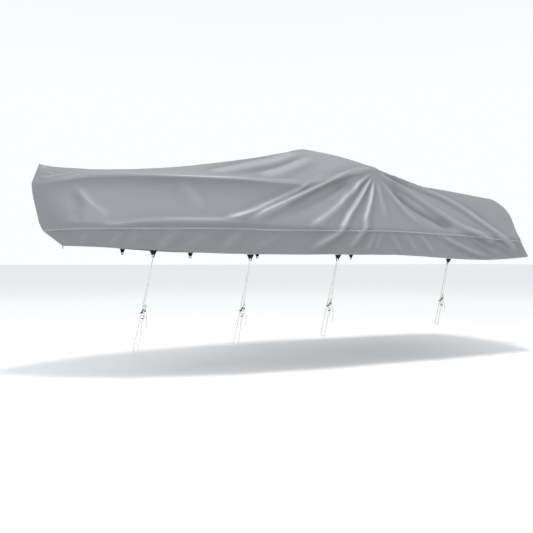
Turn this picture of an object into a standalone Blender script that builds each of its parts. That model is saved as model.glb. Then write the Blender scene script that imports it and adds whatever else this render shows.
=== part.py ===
"""Fitted boat cover in its draped shape, with its tie tabs, tie ropes and hooks.

Metres, +X towards the stern, +Y to starboard, +Z up. The origin is under the cloth at its highest
point, where it is held up. Heights in the tables are measured from a level just under the hem.
"""

from math import ceil, cos, pi, radians, sin

import bmesh
import bpy
import numpy as np

# ---------------------------------------------------------------- driving dimensions
PEAK_HEIGHT = 1.56       # underside of the cloth at its highest point
CLOTH = 0.003            # thickness of the cloth
GAP = 0.0008             # between one piece and the next

# The draped shape is a plan of lines that run from the stem, round the port side, to the middle of the
# stern. Each row of the two tables is a station, and says where it meets each line.
#    ridge           shoulder                 dip of
#    x, height       x, breadth, height       deck, side
UPPER_LINES = (
    (-3.420, 1.127, -3.507, 0.000, 0.895, 0.000, -0.012),
    (-3.370, 1.118, -3.450, 0.130, 0.875, 0.000, 0.000),
    (-3.220, 1.104, -3.220, 0.325, 0.915, 0.010, 0.020),
    (-2.900, 1.102, -2.880, 0.510, 0.962, 0.015, 0.035),
    (-2.450, 1.128, -2.440, 0.700, 0.973, 0.020, 0.045),
    (-1.950, 1.180, -2.000, 0.842, 0.970, 0.020, 0.045),
    (-1.300, 1.286, -1.400, 0.965, 0.964, 0.025, 0.040),
    (-0.700, 1.408, -0.620, 1.045, 0.938, 0.030, 0.030),
    (-0.300, 1.500, -0.050, 0.985, 1.068, 0.020, 0.025),
    (0.000, 1.563, 0.350, 0.933, 1.157, -0.015, 0.030),
    (0.150, 1.530, 0.530, 0.909, 1.203, -0.038, 0.030),
    (0.420, 1.440, 0.600, 0.900, 1.222, -0.010, 0.030),
    (0.750, 1.335, 0.700, 0.867, 1.200, 0.050, 0.030),
    (1.050, 1.250, 0.920, 0.786, 1.167, 0.060, 0.035),
    (1.380, 1.165, 1.250, 0.668, 1.115, 0.050, 0.030),
    (1.800, 1.095, 1.660, 0.522, 1.075, 0.020, 0.020),
    (2.150, 1.062, 2.080, 0.500, 1.045, 0.000, 0.000),
    (2.600, 1.015, 2.650, 0.500, 0.991, 0.000, -0.040),
    (2.860, 0.990, 3.020, 0.500, 0.955, 0.000, -0.095),
    (2.940, 0.978, 3.060, 0.420, 0.948, 0.000, -0.070),
    (2.980, 0.972, 3.075, 0.250, 0.946, 0.000, -0.020),
    (3.010, 0.970, 3.080, 0.000, 0.946, 0.000, 0.000),
)
WINDSCREEN_STATION = 11          # the shoulder turns a sharp corner at this station
#    gunwale                  seam of the skirt        hem
#    x, breadth, height       x, breadth, height       x, breadth, height
LOWER_LINES = (
    (-3.430, 0.000, 0.440, -3.385, 0.000, 0.352, -3.170, 0.000, 0.188),
    (-3.300, 0.190, 0.430, -3.260, 0.175, 0.362, -3.060, 0.170, 0.181),
    (-3.030, 0.425, 0.420, -3.000, 0.405, 0.368, -2.840, 0.370, 0.169),
    (-2.720, 0.630, 0.415, -2.700, 0.605, 0.372, -2.580, 0.555, 0.151),
    (-2.300, 0.830, 0.425, -2.300, 0.800, 0.370, -2.200, 0.765, 0.125),
    (-1.900, 0.955, 0.432, -1.900, 0.925, 0.377, -1.840, 0.885, 0.106),
    (-1.400, 1.060, 0.434, -1.400, 1.035, 0.376, -1.380, 1.000, 0.092),
    (-0.900, 1.130, 0.425, -0.920, 1.110, 0.368, -0.980, 1.070, 0.088),
    (-0.500, 1.160, 0.420, -0.530, 1.145, 0.374, -0.600, 1.105, 0.087),
    (-0.100, 1.180, 0.420, -0.130, 1.170, 0.379, -0.200, 1.135, 0.092),
    (0.250, 1.187, 0.425, 0.220, 1.178, 0.384, 0.150, 1.148, 0.088),
    (0.600, 1.190, 0.430, 0.580, 1.180, 0.390, 0.550, 1.155, 0.093),
    (1.000, 1.187, 0.425, 1.000, 1.177, 0.380, 1.000, 1.158, 0.078),
    (1.400, 1.180, 0.420, 1.400, 1.170, 0.366, 1.420, 1.156, 0.057),
    (1.800, 1.172, 0.405, 1.800, 1.162, 0.355, 1.840, 1.152, 0.036),
    (2.200, 1.160, 0.385, 2.210, 1.150, 0.333, 2.270, 1.144, 0.028),
    (2.500, 1.145, 0.365, 2.520, 1.137, 0.313, 2.600, 1.132, 0.040),
    (2.830, 1.128, 0.345, 2.850, 1.122, 0.297, 2.940, 1.118, 0.060),
    (2.985, 1.085, 0.335, 3.010, 1.075, 0.290, 3.120, 1.105, 0.078),
    (3.050, 0.930, 0.335, 3.065, 0.920, 0.290, 3.145, 0.950, 0.085),
    (3.065, 0.500, 0.335, 3.080, 0.500, 0.290, 3.150, 0.500, 0.090),
    (3.070, 0.000, 0.335, 3.085, 0.000, 0.290, 3.150, 0.000, 0.095),
)
# Columns of faces between one station and the next, more where the folds fan out
COLUMNS = (1, 2, 2, 2, 2, 3, 5, 5, 4, 4, 4, 4, 5, 5, 5, 3, 2, 2, 1, 2, 2)
# Rows of faces from the ridge to the shoulder, the gunwale, the seam and the hem
DECK_ROWS, SIDE_ROWS, BAND_ROWS, SKIRT_ROWS = 4, 8, 1, 3

# The starboard hem hangs a little higher, and straighter, than the port one
STARBOARD_HEM_LIFT = 0.045
STARBOARD_HEM_LEVEL = 0.09
STARBOARD_HEM_STRAIGHTENING = 0.8
STARBOARD_HEM_ENDS = 8           # the higher, the nearer the two ends both hems are alike

# Folds of the cloth, each along its course of (x, height) on the port side. One with a negative rise
# is a trough. The lean makes a fold steeper on its lower side.
#    rise, width at the start and at the end, lean, course
FOLDS = (
    (0.030, 0.110, 0.150, 0.20,
     ((-0.03, 1.47), (-0.20, 1.40), (-0.45, 1.31), (-0.79, 1.22), (-1.13, 1.14), (-1.57, 1.02))),
    (0.030, 0.090, 0.130, 0.20,
     ((-0.08, 1.36), (-0.34, 1.21), (-0.52, 1.13), (-0.87, 1.03))),
    (0.060, 0.070, 0.160, 0.25,
     ((0.60, 1.20), (0.39, 1.15), (0.09, 1.09), (-0.17, 0.99), (-0.42, 0.89), (-0.91, 0.70), (-1.36, 0.50))),
    (-0.030, 0.090, 0.180, 0.00,
     ((0.42, 1.04), (0.10, 0.87), (-0.25, 0.71), (-0.60, 0.56))),
    (0.030, 0.070, 0.150, 0.00,
     ((0.57, 1.17), (0.33, 0.97), (0.12, 0.83), (-0.27, 0.60), (-0.60, 0.42))),
    (0.045, 0.050, 0.100, 0.10,
     ((0.56, 1.14), (0.38, 0.94), (0.20, 0.72), (-0.01, 0.49), (-0.14, 0.39), (-0.24, 0.25), (-0.54, 0.11))),
    (0.035, 0.050, 0.090, 0.00,
     ((0.59, 1.12), (0.46, 0.90), (0.35, 0.62), (0.21, 0.38), (0.05, 0.24), (-0.10, 0.12))),
    (0.025, 0.060, 0.110, 0.00,
     ((0.61, 1.08), (0.59, 0.74), (0.64, 0.43))),
    (0.032, 0.060, 0.150, 0.00,
     ((0.73, 1.06), (0.94, 0.80), (0.98, 0.60), (1.08, 0.48), (1.28, 0.40))),
    (0.055, 0.060, 0.140, 0.25,
     ((0.62, 1.19), (0.86, 1.12), (1.14, 1.02), (1.43, 0.78), (1.74, 0.57), (2.06, 0.40), (2.25, 0.32))),
    (-0.030, 0.090, 0.180, 0.00,
     ((0.90, 0.98), (1.20, 0.76), (1.50, 0.56), (1.80, 0.42))),
    (0.040, 0.080, 0.140, 0.20,
     ((1.63, 1.04), (1.98, 0.87), (2.20, 0.66), (2.43, 0.42), (2.60, 0.30), (2.95, 0.11))),
    (0.040, 0.100, 0.180, 0.00,
     ((-3.19, 0.87), (-3.03, 0.73), (-2.90, 0.62), (-2.69, 0.44))),
    (0.022, 0.120, 0.140, 0.00,
     ((-2.02, 0.90), (-1.92, 0.77), (-1.80, 0.58))),
    (0.016, 0.090, 0.100, 0.00,
     ((-2.48, 0.35), (-2.56, 0.21))),
    (0.016, 0.090, 0.100, 0.00,
     ((-2.11, 0.36), (-1.93, 0.17))),
    (0.022, 0.080, 0.100, 0.00,
     ((0.59, 0.34), (0.77, 0.13))),
    (0.022, 0.080, 0.100, 0.00,
     ((1.18, 0.37), (1.43, 0.09))),
    (0.024, 0.080, 0.110, 0.20,
     ((1.47, 0.36), (1.73, 0.23), (2.38, 0.07))),
)
STARBOARD_FOLD_SHARE = 0.75          # rise of the starboard folds beside the port ones
STARBOARD_FOLD_SHIFT = 0.06          # and how far aft of them they lie
FOLD_START, FOLD_FADE = 0.20, 0.30   # lengths over which a fold rises and dies away
FOLD_NEIGHBOURS = 4                  # points of the surface whose breadth a place of a course takes

# Tie tabs: folded webbing sewn into the hem, with an eye for the rope
#    width at top and foot, drop, radius of the eye, its height above the foot
TAB = (0.088, 0.034, 0.080, 0.0100, 0.022)
BOW_TAB = (0.040, 0.016, 0.036, 0.0065, 0.015)
TAB_THICKNESS = 0.004

# Tie ropes: each goes from a hook's eye up through its tab, down inside, round its foot, up outside,
# takes a turn about the middle of the same hook, and ends in a bare tail.
ROPE_DIAMETER = 0.012
ROPE_TURN = 0.026                    # radius of its turn in the tab's eye
EYE_TURNED = radians(25)             # how far that turn faces forward of square to the cover's side
#    tab     foot of the loop: x, breadth, height, radius, turned aft     hook's share of the way     tail
TIES = (
    (-2.295, -2.448, 0.500, -1.035, 0.046, radians(15), 0.615, 0.110),
    (-1.243, -1.314, 0.760, -0.980, 0.032, radians(28), 0.620, 0.120),
    (-0.128, -0.148, 0.810, -0.928, 0.030, radians(35), 0.620, 0.130),
    (1.592, 1.580, 0.930, -0.840, 0.026, radians(0), 0.640, 0.075),
)
LEAD_IN = 0.03                       # straight length of rope where it leaves the hook's eye
ROPE_STEP = 0.072                    # between the points of a straight run
TURN_STEP = 0.026                    # and of a turn
TURN_ANGLES = tuple(map(radians, (0, 45, 90, 135, 180)))
ROPE_SIDES = 8

# Tie hooks: moulded bar in an S with a nearly closed eye, lying flat to the side of the cover
HOOK_BAR = 0.0065                    # radius of the bar
HOOK_STEP = 0.009                    # between the points of the bar
HOOK_SIDES = 6
HOOK_TURNED = radians(10)            # how far its aft side turns outboard
HOOK_FORWARD = 0.008                 # how far forward of the rope its middle is
HOOK_CROWN = 0.0016                  # how far the bow of its eye rises past the points of its course
#    aft, down the rope, both from the hook's middle
HOOK_COURSE = (
    (0.014, -0.031), (0.022, -0.043), (0.015, -0.055), (0.001, -0.055), (-0.006, -0.043),
    (-0.010, -0.024), (-0.022, -0.006), (-0.010, 0.009), (0.014, 0.022), (0.020, 0.038), (-0.002, 0.054),
)
#    aft, down the rope, outboard, all from the hook's middle
ROPE_ON_HOOK = (
    (0.004, 0.105, 0.008), (0.012, 0.070, 0.018), (0.017, 0.044, 0.021), (0.007, 0.021, 0.022),
    (-0.014, 0.004, 0.021), (-0.036, -0.008, 0.012), (-0.043, -0.012, -0.003), (-0.032, -0.014, -0.016),
    (-0.010, -0.012, -0.019), (0.012, -0.011, -0.008), (0.028, -0.006, 0.008), (0.042, 0.012, 0.016),
    (0.049, 0.042, 0.018),
)
#    share of the tail, how far aft it hangs off the end of the turn
TAIL_HANG = ((0.40, 0.003), (0.75, -0.002), (1.00, -0.010))


# ---------------------------------------------------------------- materials and objects
def material(name, colour, roughness):
    made = bpy.data.materials.new(name)
    made.use_nodes = True
    shader = made.node_tree.nodes["Principled BSDF"]
    shader.inputs["Base Color"].default_value = (*colour, 1.0)
    shader.inputs["Roughness"].default_value = roughness
    shader.inputs["Metallic"].default_value = 0.0
    made.diffuse_color = (*colour, 1.0)
    return made


def add_object(name, data, finish):
    made = bpy.data.objects.new(name, data)
    data.materials.append(finish)
    bpy.context.scene.collection.objects.link(made)


def add_mesh(name, points, faces, finish):
    mesh = bpy.data.meshes.new(name)
    mesh.from_pydata([tuple(point) for point in points], [], [tuple(face) for face in faces])
    mesh.validate()
    mesh.shade_smooth()
    mesh.set_sharp_from_angle(angle=radians(50))
    add_object(name, mesh, finish)


def add_tube(name, points, radius, sides, finish):
    curve = bpy.data.curves.new(name, "CURVE")
    curve.dimensions = "3D"
    curve.bevel_depth = radius
    curve.bevel_resolution = sides // 2 - 2
    curve.use_fill_caps = True
    spline = curve.splines.new("POLY")
    spline.points.add(len(points) - 1)
    for place, point in zip(spline.points, points):
        place.co = (*point, 1.0)
    add_object(name, curve, finish)


# ---------------------------------------------------------------- the draped surface
def smooth(knots, values, at):
    """Rows of values between the knots, on a cubic that never overshoots them."""
    step = np.diff(knots)[:, None]
    rise = np.diff(values, axis=0) / step
    turns = rise[:-1] * rise[1:] <= 0
    total = np.where(turns, 1.0, rise[:-1] + rise[1:])
    inner = np.where(turns, 0.0, 2 * rise[:-1] * rise[1:] / total)
    slope = np.vstack([rise[:1], inner, rise[-1:]])
    i = np.clip(np.searchsorted(knots, at, "right") - 1, 0, len(knots) - 2)
    width = step[i]
    u = (at[:, None] - knots[i][:, None]) / width
    return (
        (1 + 2 * u) * (1 - u) ** 2 * values[i]
        + u * (1 - u) ** 2 * width * slope[i]
        + u * u * (3 - 2 * u) * values[i + 1]
        + u * u * (u - 1) * width * slope[i + 1]
    )


def lines_at_columns():
    """Both tables read at every column of faces, and each column's share of the way round."""
    upper, lower = np.array(UPPER_LINES), np.array(LOWER_LINES)
    steps = np.linalg.norm(np.diff(lower[:, :2], axis=0), axis=1)
    knots = np.concatenate([[0.0], np.cumsum(steps)])
    at = [a + (b - a) * i / n for a, b, n in zip(knots, knots[1:], COLUMNS) for i in range(n)]
    at = np.array(at + [knots[-1]])
    corner = WINDSCREEN_STATION
    shoulder = slice(2, 5)
    before = smooth(knots[: corner + 1], upper[: corner + 1, shoulder], at)
    after = smooth(knots[corner:], upper[corner:, shoulder], at)
    upper = smooth(knots, upper, at)
    upper[:, shoulder] = np.where((at < knots[corner])[:, None], before, after)
    return upper, smooth(knots, lower, at), at / at[-1]


def placed(line, side):
    """Points from the x, breadth and height of a line."""
    return line * (1, side, 1) - (0, 0, PEAK_HEIGHT)


def half_surface(side):
    """Points of one side, as columns from the stem to the stern and rows from the ridge to the hem."""
    upper, lower, share = lines_at_columns()
    if side > 0:
        hem_height = lower[:, 8]
        middle = 1 - (2 * share - 1) ** STARBOARD_HEM_ENDS
        slack = np.maximum(0, STARBOARD_HEM_LEVEL - hem_height)
        lower[:, 8] = hem_height + middle * (STARBOARD_HEM_LIFT + STARBOARD_HEM_STRAIGHTENING * slack)
    ridge = placed(np.insert(upper[:, :2], 1, 0.0, axis=1), side)
    shoulder = placed(upper[:, 2:5], side)
    gunwale, seam, hem = (placed(lower[:, i:i + 3], side) for i in (0, 3, 6))
    deck_dip, side_dip = upper[:, 5:6], upper[:, 6:7]

    run = np.gradient(gunwale, axis=0)
    outward = np.cross((0, 0, side), run)
    outward /= np.linalg.norm(outward, axis=1)[:, None]
    rows = []
    for u in np.arange(DECK_ROWS) / DECK_ROWS:
        sag = 4 * u * (1 - u)                        # 1 at its deepest, half way down
        rows.append(ridge + (shoulder - ridge) * u - deck_dip * sag * (0, 0, 1))
    for u in np.arange(SIDE_ROWS) / SIDE_ROWS:
        sag = 27 / 4 * u * (1 - u) ** 2              # 1 at its deepest, a third of the way down
        rows.append(shoulder + (gunwale - shoulder) * u - outward * side_dip * sag)
    for u in np.arange(BAND_ROWS) / BAND_ROWS:
        rows.append(gunwale + (seam - gunwale) * u)
    for u in np.arange(SKIRT_ROWS + 1) / SKIRT_ROWS:
        rows.append(seam + (hem - seam) * u)
    return np.stack(rows, axis=1)


def point_numbers(columns, rows):
    """A number for each place of the closed grid, where both sides share the points on the ridge."""
    numbers = np.arange(columns * rows).reshape(columns, rows)
    for column in range(columns // 2 + 1, columns):
        numbers[column, 0] = numbers[columns - column, 0]
    return numbers


def quads_between(columns, first, last):
    """Faces, seen from outside, of the rows from first to last between each column and the next."""
    return [
        [here[row], here[row + 1], following[row + 1], following[row]]
        for here, following in zip(columns, columns[1:])
        for row in range(first, last)
    ]


def point_normals(points, quads):
    corners = points[np.array(quads)]
    faces = np.cross(corners[:, 2] - corners[:, 0], corners[:, 3] - corners[:, 1])
    normals = np.zeros_like(points)
    for corner in range(4):
        np.add.at(normals, np.array(quads)[:, corner], faces)
    tiny = 1e-9
    return normals / np.maximum(np.linalg.norm(normals, axis=1), tiny)[:, None]


def ease(share):
    share = np.clip(share, 0, 1)
    return share * share * (3 - 2 * share)


def course_on(points, on_side, course, shift):
    """The course of a fold in space, lying on one side of the cover."""
    places = []
    for x, height in course:
        x += shift
        height -= PEAK_HEIGHT
        off = (points[:, 0] - x) ** 2 + (points[:, 2] - height) ** 2
        near = np.argsort(np.where(on_side, off, np.inf))[:FOLD_NEIGHBOURS]
        places.append((x, points[near, 1].mean(), height))
    return np.array(places)


def fold_lift(points, on_side, fold, side):
    """How far one fold lifts each point off the plain draped surface."""
    rise, start_width, end_width, lean, course = fold
    shift = STARBOARD_FOLD_SHIFT if side > 0 else 0.0
    places = course_on(points, on_side, course, shift)
    best = np.full(len(points), np.inf)
    along, below = np.zeros(len(points)), np.zeros(len(points))
    total = 0.0
    for a, b in zip(places, places[1:]):
        length = np.linalg.norm(b - a)
        run = (b - a) / length
        reach = np.clip((points - a) @ run, 0, length)
        off = points - a - reach[:, None] * run
        distance = np.linalg.norm(off, axis=1)
        nearer = distance < best
        best[nearer] = distance[nearer]
        along[nearer] = total + reach[nearer]
        below[nearer] = -off[nearer, 2] / distance[nearer]
        total += length
    width = (start_width + (end_width - start_width) * along / total) * (1 - lean * below)
    ends = ease(along / FOLD_START) * ease((total - along) / FOLD_FADE)
    share = STARBOARD_FOLD_SHARE if side > 0 else 1.0
    return share * rise * ends * (1 + np.cos(pi * np.clip(best / width, 0, 1))) / 2


def draped_cover():
    """Outer and inner points of the whole cover, and its columns of point numbers, once round."""
    port, starboard = half_surface(-1), half_surface(1)
    grid = np.concatenate([port, starboard[-2:0:-1]])
    numbers = point_numbers(*grid.shape[:2])
    numbers = np.vstack([numbers, numbers[:1]])
    points = grid.reshape(-1, 3)
    quads = quads_between(numbers, 0, grid.shape[1] - 1)
    lift = np.zeros(len(points))
    for side in (-1, 1):
        on_side = points[:, 1] * side > 0
        for fold in FOLDS:
            lift += fold_lift(points, on_side, fold, side)
    outer = points + lift[:, None] * point_normals(points, quads)
    return outer, outer - CLOTH * point_normals(outer, quads), numbers


def diagonal(start, end):
    """How long a diagonal is. One on the centreline is no choice, for port and starboard would share it."""
    return np.inf if start[1] == end[1] == 0 else np.linalg.norm(end - start)


def halves(quads, points):
    """Two triangles for each face, split along its shorter diagonal, so both sides of a cloth match."""
    triangles = []
    for a, b, c, d in quads:
        if diagonal(points[a], points[c]) <= diagonal(points[b], points[d]):
            triangles += [[a, b, c], [a, c, d]]
        else:
            triangles += [[a, b, d], [b, c, d]]
    return triangles


def add_sheet(name, outer, inner, quads, finish):
    """A closed solid between the two faces of the cloth, walled along its free edges."""
    free = set()
    for quad in quads:
        for a, b in zip(quad, quad[1:] + quad[:1]):
            if (b, a) in free:
                free.remove((b, a))
            else:
                free.add((a, b))
    used = sorted({corner for quad in quads for corner in quad})
    number = {corner: i for i, corner in enumerate(used)}
    above = [[number[corner] for corner in half] for half in halves(quads, outer)]
    below = [[corner + len(used) for corner in reversed(half)] for half in above]
    walls = []
    for a, b in sorted(free):
        walls.append([number[b], number[a], number[a] + len(used), number[b] + len(used)])
    add_mesh(name, np.concatenate([outer[used], inner[used]]), above + below + walls, finish)


def add_cloth(finish):
    """The top cloth and both skirts, and the hem of each side from the stem to the stern."""
    outer, inner, numbers = draped_cover()
    seam = DECK_ROWS + SIDE_ROWS + BAND_ROWS
    hem = seam + SKIRT_ROWS
    stern = len(numbers) // 2
    add_sheet("top_cloth", outer, inner, quads_between(numbers, 0, seam), finish)
    hems = []
    skirts = (("skirt_port", -1, numbers[: stern + 1]), ("skirt_starboard", 1, numbers[stern:]))
    for name, side, columns in skirts:
        faces = []
        for points in (outer.copy(), inner.copy()):
            down = points[columns[:, seam + 1]] - points[columns[:, seam]]
            points[columns[:, seam]] += GAP * down / np.linalg.norm(down, axis=1)[:, None]
            points[columns[0], 1] = side * GAP / 2
            points[columns[-1], 1] = side * GAP / 2
            faces.append(points)
        add_sheet(name, *faces, quads_between(columns, seam, hem), finish)
        hems.append((outer + inner)[columns[:, hem]] / 2)
    return hems[0], hems[1][::-1]


# ---------------------------------------------------------------- tabs, ropes and hooks
def unit(vector):
    return vector / np.linalg.norm(vector)


def add_tab(name, sizes, middle, sideways, down, out, finish):
    """A webbing tab that hangs from the middle of its top edge and tapers down to its eye."""
    top_width, foot_width, drop, eye_radius, eye_height = sizes
    sideways = unit(sideways)
    down = unit(down - (down @ sideways) * sideways)
    through = np.cross(sideways, down)
    through *= np.sign(through @ out)
    top = eye_height - drop
    half, foot, corner = top_width / 2, foot_width / 2, foot_width / 4
    waist = -eye_radius / 5
    outline = (
        (-half, top), (0, top), (half, top),
        (foot, waist), (foot, eye_height - corner), (corner, eye_height),
        (-corner, eye_height), (-foot, eye_height - corner), (-foot, waist),
    )
    beside_outline = map(radians, (215, 270, 325, 0, 40, 75, 105, 140, 180))
    eye = [(eye_radius * cos(angle), eye_radius * sin(angle)) for angle in beside_outline]
    centre = middle - top * down
    made = bmesh.new()
    rings = [
        [made.verts.new(centre + sideways * x + down * y + through * shift) for x, y in ring]
        for shift in (-TAB_THICKNESS / 2, TAB_THICKNESS / 2)
        for ring in (outline, eye)
    ]
    for i in range(len(outline)):
        j = (i + 1) % len(outline)
        for a, b in ((0, 1), (1, 3), (3, 2), (2, 0)):
            made.faces.new((rings[a][i], rings[a][j], rings[b][j], rings[b][i]))
    bmesh.ops.recalc_face_normals(made, faces=made.faces)
    mesh = bpy.data.meshes.new(name)
    made.to_mesh(mesh)
    made.free()
    add_object(name, mesh, finish)
    return centre


def smooth_route(runs):
    """Points on a curve through those of the runs, each run with its own step between them."""
    steps = [step for points, step in runs for _ in points]
    route = [point for points, _ in runs for point in points]
    route = [2 * route[0] - route[1], *route, 2 * route[-1] - route[-2]]
    read = []
    for a, b, c, d, step in zip(route, route[1:], route[2:], route[3:], steps):
        before, here, after = (np.linalg.norm(q - p) ** 0.5 for p, q in ((a, b), (b, c), (c, d)))
        start = (b - a) / before - (c - a) / (before + here) + (c - b) / here
        end = (c - b) / here - (d - b) / (here + after) + (d - c) / after
        count = ceil(np.linalg.norm(c - b) / step)
        for u in np.arange(count) / count:
            read.append(
                (1 + 2 * u) * (1 - u) ** 2 * b
                + u * (1 - u) ** 2 * here * start
                + u * u * (3 - 2 * u) * c
                + u * u * (u - 1) * here * end
            )
    return read + [route[-2]]


def half_turn(middle, start, forward):
    """Points of half a circle about its middle, from one side of it, by way of its forward side."""
    return [middle + start * cos(angle) + forward * sin(angle) for angle in TURN_ANGLES]


def add_tie(number, tie, eye, rope_finish, hook_finish):
    """One rope from hook to tab to foot and back to the hook, and the hook itself."""
    _, foot_x, foot_breadth, foot_height, foot_turn, turned_aft, hook_share, tail = tie
    foot = np.array([foot_x, -foot_breadth, foot_height - PEAK_HEIGHT])
    way = unit(foot - eye)
    length = np.linalg.norm(foot - eye) - foot_turn

    def facing(aft):
        """Square to the rope, and turned that far aft from square to the cover's side."""
        direction = np.array([sin(aft), -cos(aft), 0.0])
        return unit(direction - (direction @ way) * way)

    out, turned = facing(-EYE_TURNED), facing(turned_aft)

    def strand(along, sense=1):
        """A place on the outboard run of the loop, or with sense -1 on the inboard one."""
        share = along / length
        return eye + along * way + sense * ((1 - share) * ROPE_TURN * out + share * foot_turn * turned)

    across = facing(pi / 2 - HOOK_TURNED)
    outboard = np.cross(way, across)
    outboard *= np.sign(-outboard[1])
    middle = strand(hook_share * length) - HOOK_FORWARD * across
    bar = [middle + aft * across + down * way for aft, down in HOOK_COURSE]
    add_tube(f"tie_hook_{number}", smooth_route([(bar, HOOK_STEP)]), HOOK_BAR, HOOK_SIDES, hook_finish)

    eye_top = -min(down for _, down in HOOK_COURSE)
    start = strand(hook_share * length) - (eye_top + HOOK_CROWN + HOOK_BAR + GAP) * way
    down_to_hook = (start - eye) @ way
    turn = [middle + aft * across + down * way + off * outboard for aft, down, off in ROPE_ON_HOOK]
    rise_to = (turn[0] - eye) @ way
    fall = np.array([0, 0, -tail])
    runs = (
        ([start, start - LEAD_IN * way], LEAD_IN),
        ([strand(down_to_hook * share) for share in (0.66, 0.33)], ROPE_STEP),
        (half_turn(eye + ROPE_TURN * way, ROPE_TURN * out, -ROPE_TURN * way), TURN_STEP),
        ([strand(length * share, -1) for share in (0.25, 0.50, 0.75)], ROPE_STEP),
        (half_turn(eye + length * way, -foot_turn * turned, foot_turn * way), TURN_STEP),
        ([strand(length + (rise_to - length) * share) for share in (0.35, 0.70)], ROPE_STEP),
        (turn, TURN_STEP),
        ([turn[-1] + fall * share + aft * across for share, aft in TAIL_HANG], TURN_STEP),
    )
    add_tube(f"tie_rope_{number}", smooth_route(runs), ROPE_DIAMETER / 2, ROPE_SIDES, rope_finish)


def add_side_tabs(side, name, hem, webbing, rope, moulding):
    """The tabs along one side's hem, and the port ones' ropes and hooks."""
    down = np.array([0.0, 0.0, -1.0])
    half = TAB[0] / 2
    for number, tie in enumerate(TIES, 1):
        along = tie[0] + np.array([-half, -half / 2, 0, half / 2, half])
        breadth, height = (np.interp(along, hem[:, 0], hem[:, axis]) for axis in (1, 2))
        ends = np.column_stack([along, breadth, height])
        level = np.linspace(ends[0], ends[-1], len(ends))
        clear = np.max(level[:, 2] - ends[:, 2]) + CLOTH / 2 + GAP
        middle = level[2] + clear * down
        if side < 0:
            foot = np.array([tie[1], -tie[2], tie[3] - PEAK_HEIGHT])
            hang = foot - middle
        else:
            hang = down
        out = np.array([0, side, 0])
        eye = add_tab(f"tab_{name}_{number}", TAB, middle, ends[-1] - ends[0], hang, out, webbing)
        if side < 0:
            add_tie(number, tie, eye, rope, moulding)


def main():
    for old in list(bpy.data.objects):
        bpy.data.objects.remove(old)
    cloth = material("grey coated polyester", (0.33, 0.34, 0.36), 0.55)
    webbing = material("black webbing", (0.015, 0.015, 0.016), 0.85)
    rope = material("white rope", (0.72, 0.72, 0.70), 0.80)
    moulding = material("black moulded plastic", (0.012, 0.012, 0.013), 0.45)
    port_hem, starboard_hem = add_cloth(cloth)
    add_side_tabs(-1, "port", port_hem, webbing, rope, moulding)
    add_side_tabs(1, "starboard", starboard_hem, webbing, rope, moulding)
    down = np.array([0, 0, -1.0])
    tip = port_hem[0] + down * (CLOTH + GAP)
    add_tab("tab_bow", BOW_TAB, tip, np.array([0, 1.0, 0]), down, np.array([-1, 0, 0]), webbing)


main()
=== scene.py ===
# %% [markdown]
# # A fitted boat cover, made in cells
# The cover is a big sheet of grey coated polyester that is cut and sewn to drop over a small motor boat.
# A skirt hangs from a seam below the gunwale, webbing tabs are sewn into the skirt's hem, and white ropes
# hold the tabs down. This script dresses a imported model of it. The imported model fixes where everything
# is, so the first cell loads it and keeps its box. Everything is in metres, +X runs to the stern, +Y to
# starboard and +Z up, and the origin is under the cloth at its highest point.

# %% Load the frame
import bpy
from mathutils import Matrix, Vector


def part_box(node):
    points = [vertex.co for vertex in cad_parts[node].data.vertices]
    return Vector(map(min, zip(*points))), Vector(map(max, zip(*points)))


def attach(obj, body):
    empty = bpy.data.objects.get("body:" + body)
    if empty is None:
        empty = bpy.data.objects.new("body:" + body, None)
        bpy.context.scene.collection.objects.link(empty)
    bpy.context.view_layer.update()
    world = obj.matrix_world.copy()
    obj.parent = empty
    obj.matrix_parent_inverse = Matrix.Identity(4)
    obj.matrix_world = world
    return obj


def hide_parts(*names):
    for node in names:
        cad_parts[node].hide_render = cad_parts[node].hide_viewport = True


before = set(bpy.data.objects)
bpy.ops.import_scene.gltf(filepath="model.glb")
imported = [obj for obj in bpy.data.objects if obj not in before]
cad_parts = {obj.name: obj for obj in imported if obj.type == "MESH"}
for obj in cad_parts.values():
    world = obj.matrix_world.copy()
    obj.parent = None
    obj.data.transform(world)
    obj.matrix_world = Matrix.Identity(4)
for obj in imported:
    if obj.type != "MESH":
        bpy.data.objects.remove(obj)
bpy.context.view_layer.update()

# %% [markdown]
# ## The modules
# A cover is one surface of some sixty thousand points. NumPy works them out all at once, which is quicker
# than moving them one by one and keeps the rule of the shape in sight. Blender then gets the finished
# points and faces.

# %% The modules that the other cells use
from collections import namedtuple
from math import ceil, cos, pi, radians, sin

import bpy
import numpy as np
from mathutils import Vector, noise

scene = bpy.context.scene

# %% [markdown]
# ## The camera
# The cover is seen from its port bow quarter, by somebody who stands 1.35 m above the ground. A level
# camera keeps upright things upright, so it looks down by less than half a degree. Its angle of view
# comes from a focal length that is given in the picture's own pixels.

# %% Camera
CAMERA_PLACE = (-4.33, -7.685, -1.56)
CAMERA_TURN = radians(26.3)          # from +Y towards +X
CAMERA_DIP = radians(0.403)
PICTURE_SIDE, FOCAL_LENGTH = 533, 640   # both in pixels of the picture

lens = bpy.data.cameras.new("camera")
lens.sensor_fit = "HORIZONTAL"
lens.sensor_width = 36.0
lens.lens = lens.sensor_width * FOCAL_LENGTH / PICTURE_SIDE
lens.clip_end = 1000
camera = bpy.data.objects.new("camera", lens)
camera.location = CAMERA_PLACE
camera.rotation_euler = (radians(90) - CAMERA_DIP, 0, -CAMERA_TURN)
scene.collection.objects.link(camera)
scene.camera = camera
print("lens", round(lens.lens, 1), "mm")

# %% [markdown]
# ## Floor
# Under a bright overcast sky the pale ground throws much of the light back up under the cover. The floor
# is one plain pale sheet, far enough across that its edge is never seen. It turns paler away from the
# cover, so that it meets the sky without a dark line. A material can be painted, but here a few nodes
# work it out from where a point is, which needs no picture and looks the same from every side.

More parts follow.
